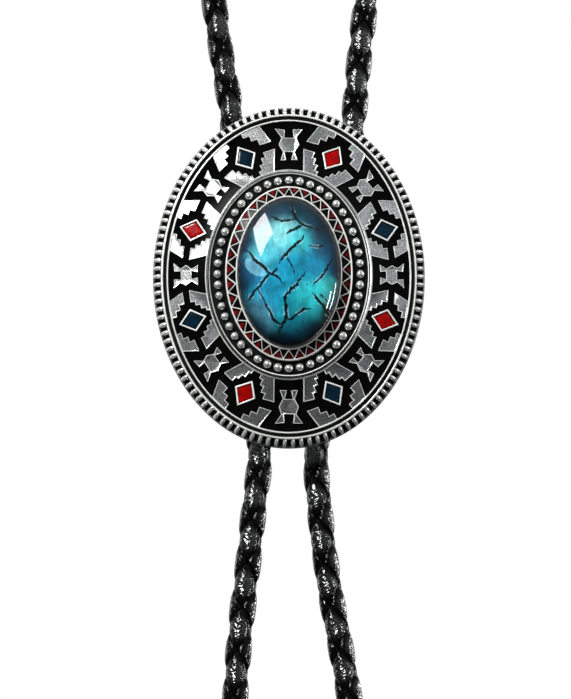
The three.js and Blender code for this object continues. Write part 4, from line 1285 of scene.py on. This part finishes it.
# Studio: a pale floor well below, soft lights, and white all round for the camera

def painted_floor(tree):
    """Matt pale paint, which wears the studio's wide overhead light itself, so that none falls on the piece."""
    return {"Base Color": "#e9e9e7", "Roughness": 0.8, "Emission Color": "#f2f3f3", "Emission Strength": 0.55}


def make_floor():
    bm = bmesh.new()
    bmesh.ops.create_grid(bm, x_segments=1, y_segments=1, size=4.0)
    mesh = mesh_from(bm, "floor")
    mesh.transform(Matrix.Translation((0, 0, -0.62)))
    mesh.materials.append(new_material("pale_floor", painted_floor))
    floor = new_object("floor", mesh)
    floor.visible_glossy = False
    floor.visible_diffuse = False


def direction(azimuth, elevation):
    """The way towards a light, from the left for a negative azimuth."""
    a, e = math.radians(azimuth), math.radians(elevation)
    return Vector((math.sin(a) * math.cos(e), -math.cos(a) * math.cos(e), math.sin(e)))


def soft_light(name, azimuth, elevation, width, height, radiance, roll=0.0, spread=60.0, lit=None, gloss=True,
               diffuse=True):
    """An area light a metre off that faces the slide. Its radiance is what a mirror would show, and its
    narrow spread keeps it off the floor. Where lit pieces are given it falls on them alone, as if cards
    shaded the others."""
    data = bpy.data.lights.new(name, "AREA")
    data.shape, data.size, data.size_y = "RECTANGLE", width, height
    data.energy = radiance * (width * height)
    data.spread = math.radians(spread)
    light = new_object(name, data)
    light.visible_camera = False
    away = direction(azimuth, elevation)
    light.location = place(0, 0, 5) + away
    light.rotation_mode = "QUATERNION"
    light.rotation_quaternion = away.to_track_quat("Z", "Y") @ Quaternion((0, 0, 1), math.radians(roll))
    light.visible_glossy, light.visible_diffuse = gloss, diffuse
    if lit:
        receivers = bpy.data.collections.new("lit_by_" + name)
        for piece in lit:
            receivers.objects.link(piece)
        light.light_linking.receiver_collection = receivers


# Soft glows of the room: azimuth and elevation in degrees, sharpness and radiance
GLOWS = [(33, 22, 16, 0.5), (-95, 32, 4, 0.14), (95, 32, 4, 0.2), (0, 80, 5, 0.3), (180, 48, 3, 0.9),
         (180, -25, 4, 0.4), (-32, -20, 10, 0.17), (32, -18, 12, 0.08)]


def make_world():
    """White where the camera looks past the piece. For everything else a dim room, almost black below, with
    a few broad glows."""
    world = bpy.data.worlds.new("studio")
    bpy.context.scene.world = world
    world.use_nodes = True
    tree = world.node_tree
    tree.nodes.clear()
    way = add(tree, "ShaderNodeTexCoord").outputs["Generated"]
    up = add(tree, "ShaderNodeSeparateXYZ", {0: way}).outputs["Z"]
    light = add(tree, "ShaderNodeMapRange", {"Value": up, "From Min": -0.24, "From Max": 0.24,
                                            "To Min": 0.04, "To Max": 0.13}, interpolation_type="SMOOTHSTEP")
    for azimuth, elevation, sharpness, radiance in GLOWS:
        facing = add(tree, "ShaderNodeVectorMath", {0: way, 1: direction(azimuth, elevation)},
                     operation="DOT_PRODUCT")
        seen = add(tree, "ShaderNodeMath", {0: facing, 1: 0.0}, operation="MAXIMUM")
        lobe = add(tree, "ShaderNodeMath", {0: seen, 1: sharpness}, operation="POWER")
        light = add(tree, "ShaderNodeMath", {0: lobe, 1: radiance, 2: light}, operation="MULTIPLY_ADD")
    camera_ray = add(tree, "ShaderNodeLightPath").outputs["Is Camera Ray"]
    room = add(tree, "ShaderNodeBackground", {"Color": "#f4f8fb", "Strength": light})
    white = add(tree, "ShaderNodeBackground", {"Color": "#ffffff", "Strength": 1.0})
    both = add(tree, "ShaderNodeMixShader", {0: camera_ray, 1: room, 2: white})
    add(tree, "ShaderNodeOutputWorld", {"Surface": both})


def make_lights():
    """A window at the upper left, darker cards and slats of daylight at the right, and two lights behind."""
    pieces = {thing.name: thing for thing in bpy.context.scene.objects if thing.type == "MESH"}
    others = [piece for name, piece in pieces.items() if name not in ("stone", "floor")]
    cords = [piece for piece in others if piece.name.endswith("_braid")]
    shaded = ("_braid", "triangle", "zigzag")
    metal = [piece for piece in others if not any(part in piece.name for part in shaded)]
    stone = [pieces["stone"]]
    soft_light("window_left", -41, 33.5, 0.26, 0.8, 4.7, roll=60, lit=others)
    soft_light("sun_in_window", -36, 29, 0.12, 0.16, 40, roll=40, lit=others)
    soft_light("pane_on_stone", -46.3, 36.2, 0.33, 0.86, 36, roll=58, spread=140, lit=stone, diffuse=False)
    soft_light("card_right", 74, 8, 0.35, 1.0, 1.5, lit=metal)
    soft_light("daylight_on_stone", -39, 32, 0.3, 0.5, 11.5, lit=stone, gloss=False)
    for slat, (azimuth, elevation, height) in enumerate(((70, -9, 0.22), (92, -6, 0.32), (118, 0, 0.32))):
        soft_light(f"slat_right_{slat}", azimuth, elevation, 0.075, height, 15, lit=stone + cords)
    soft_light("strip_left_behind", -120, 10, 0.1, 0.9, 1.5)
    soft_light("fill_behind", 168, 38, 0.7, 0.6, 2.2)


make_floor()
make_world()
make_lights()

bpy.context.scene.view_settings.view_transform = "Standard"
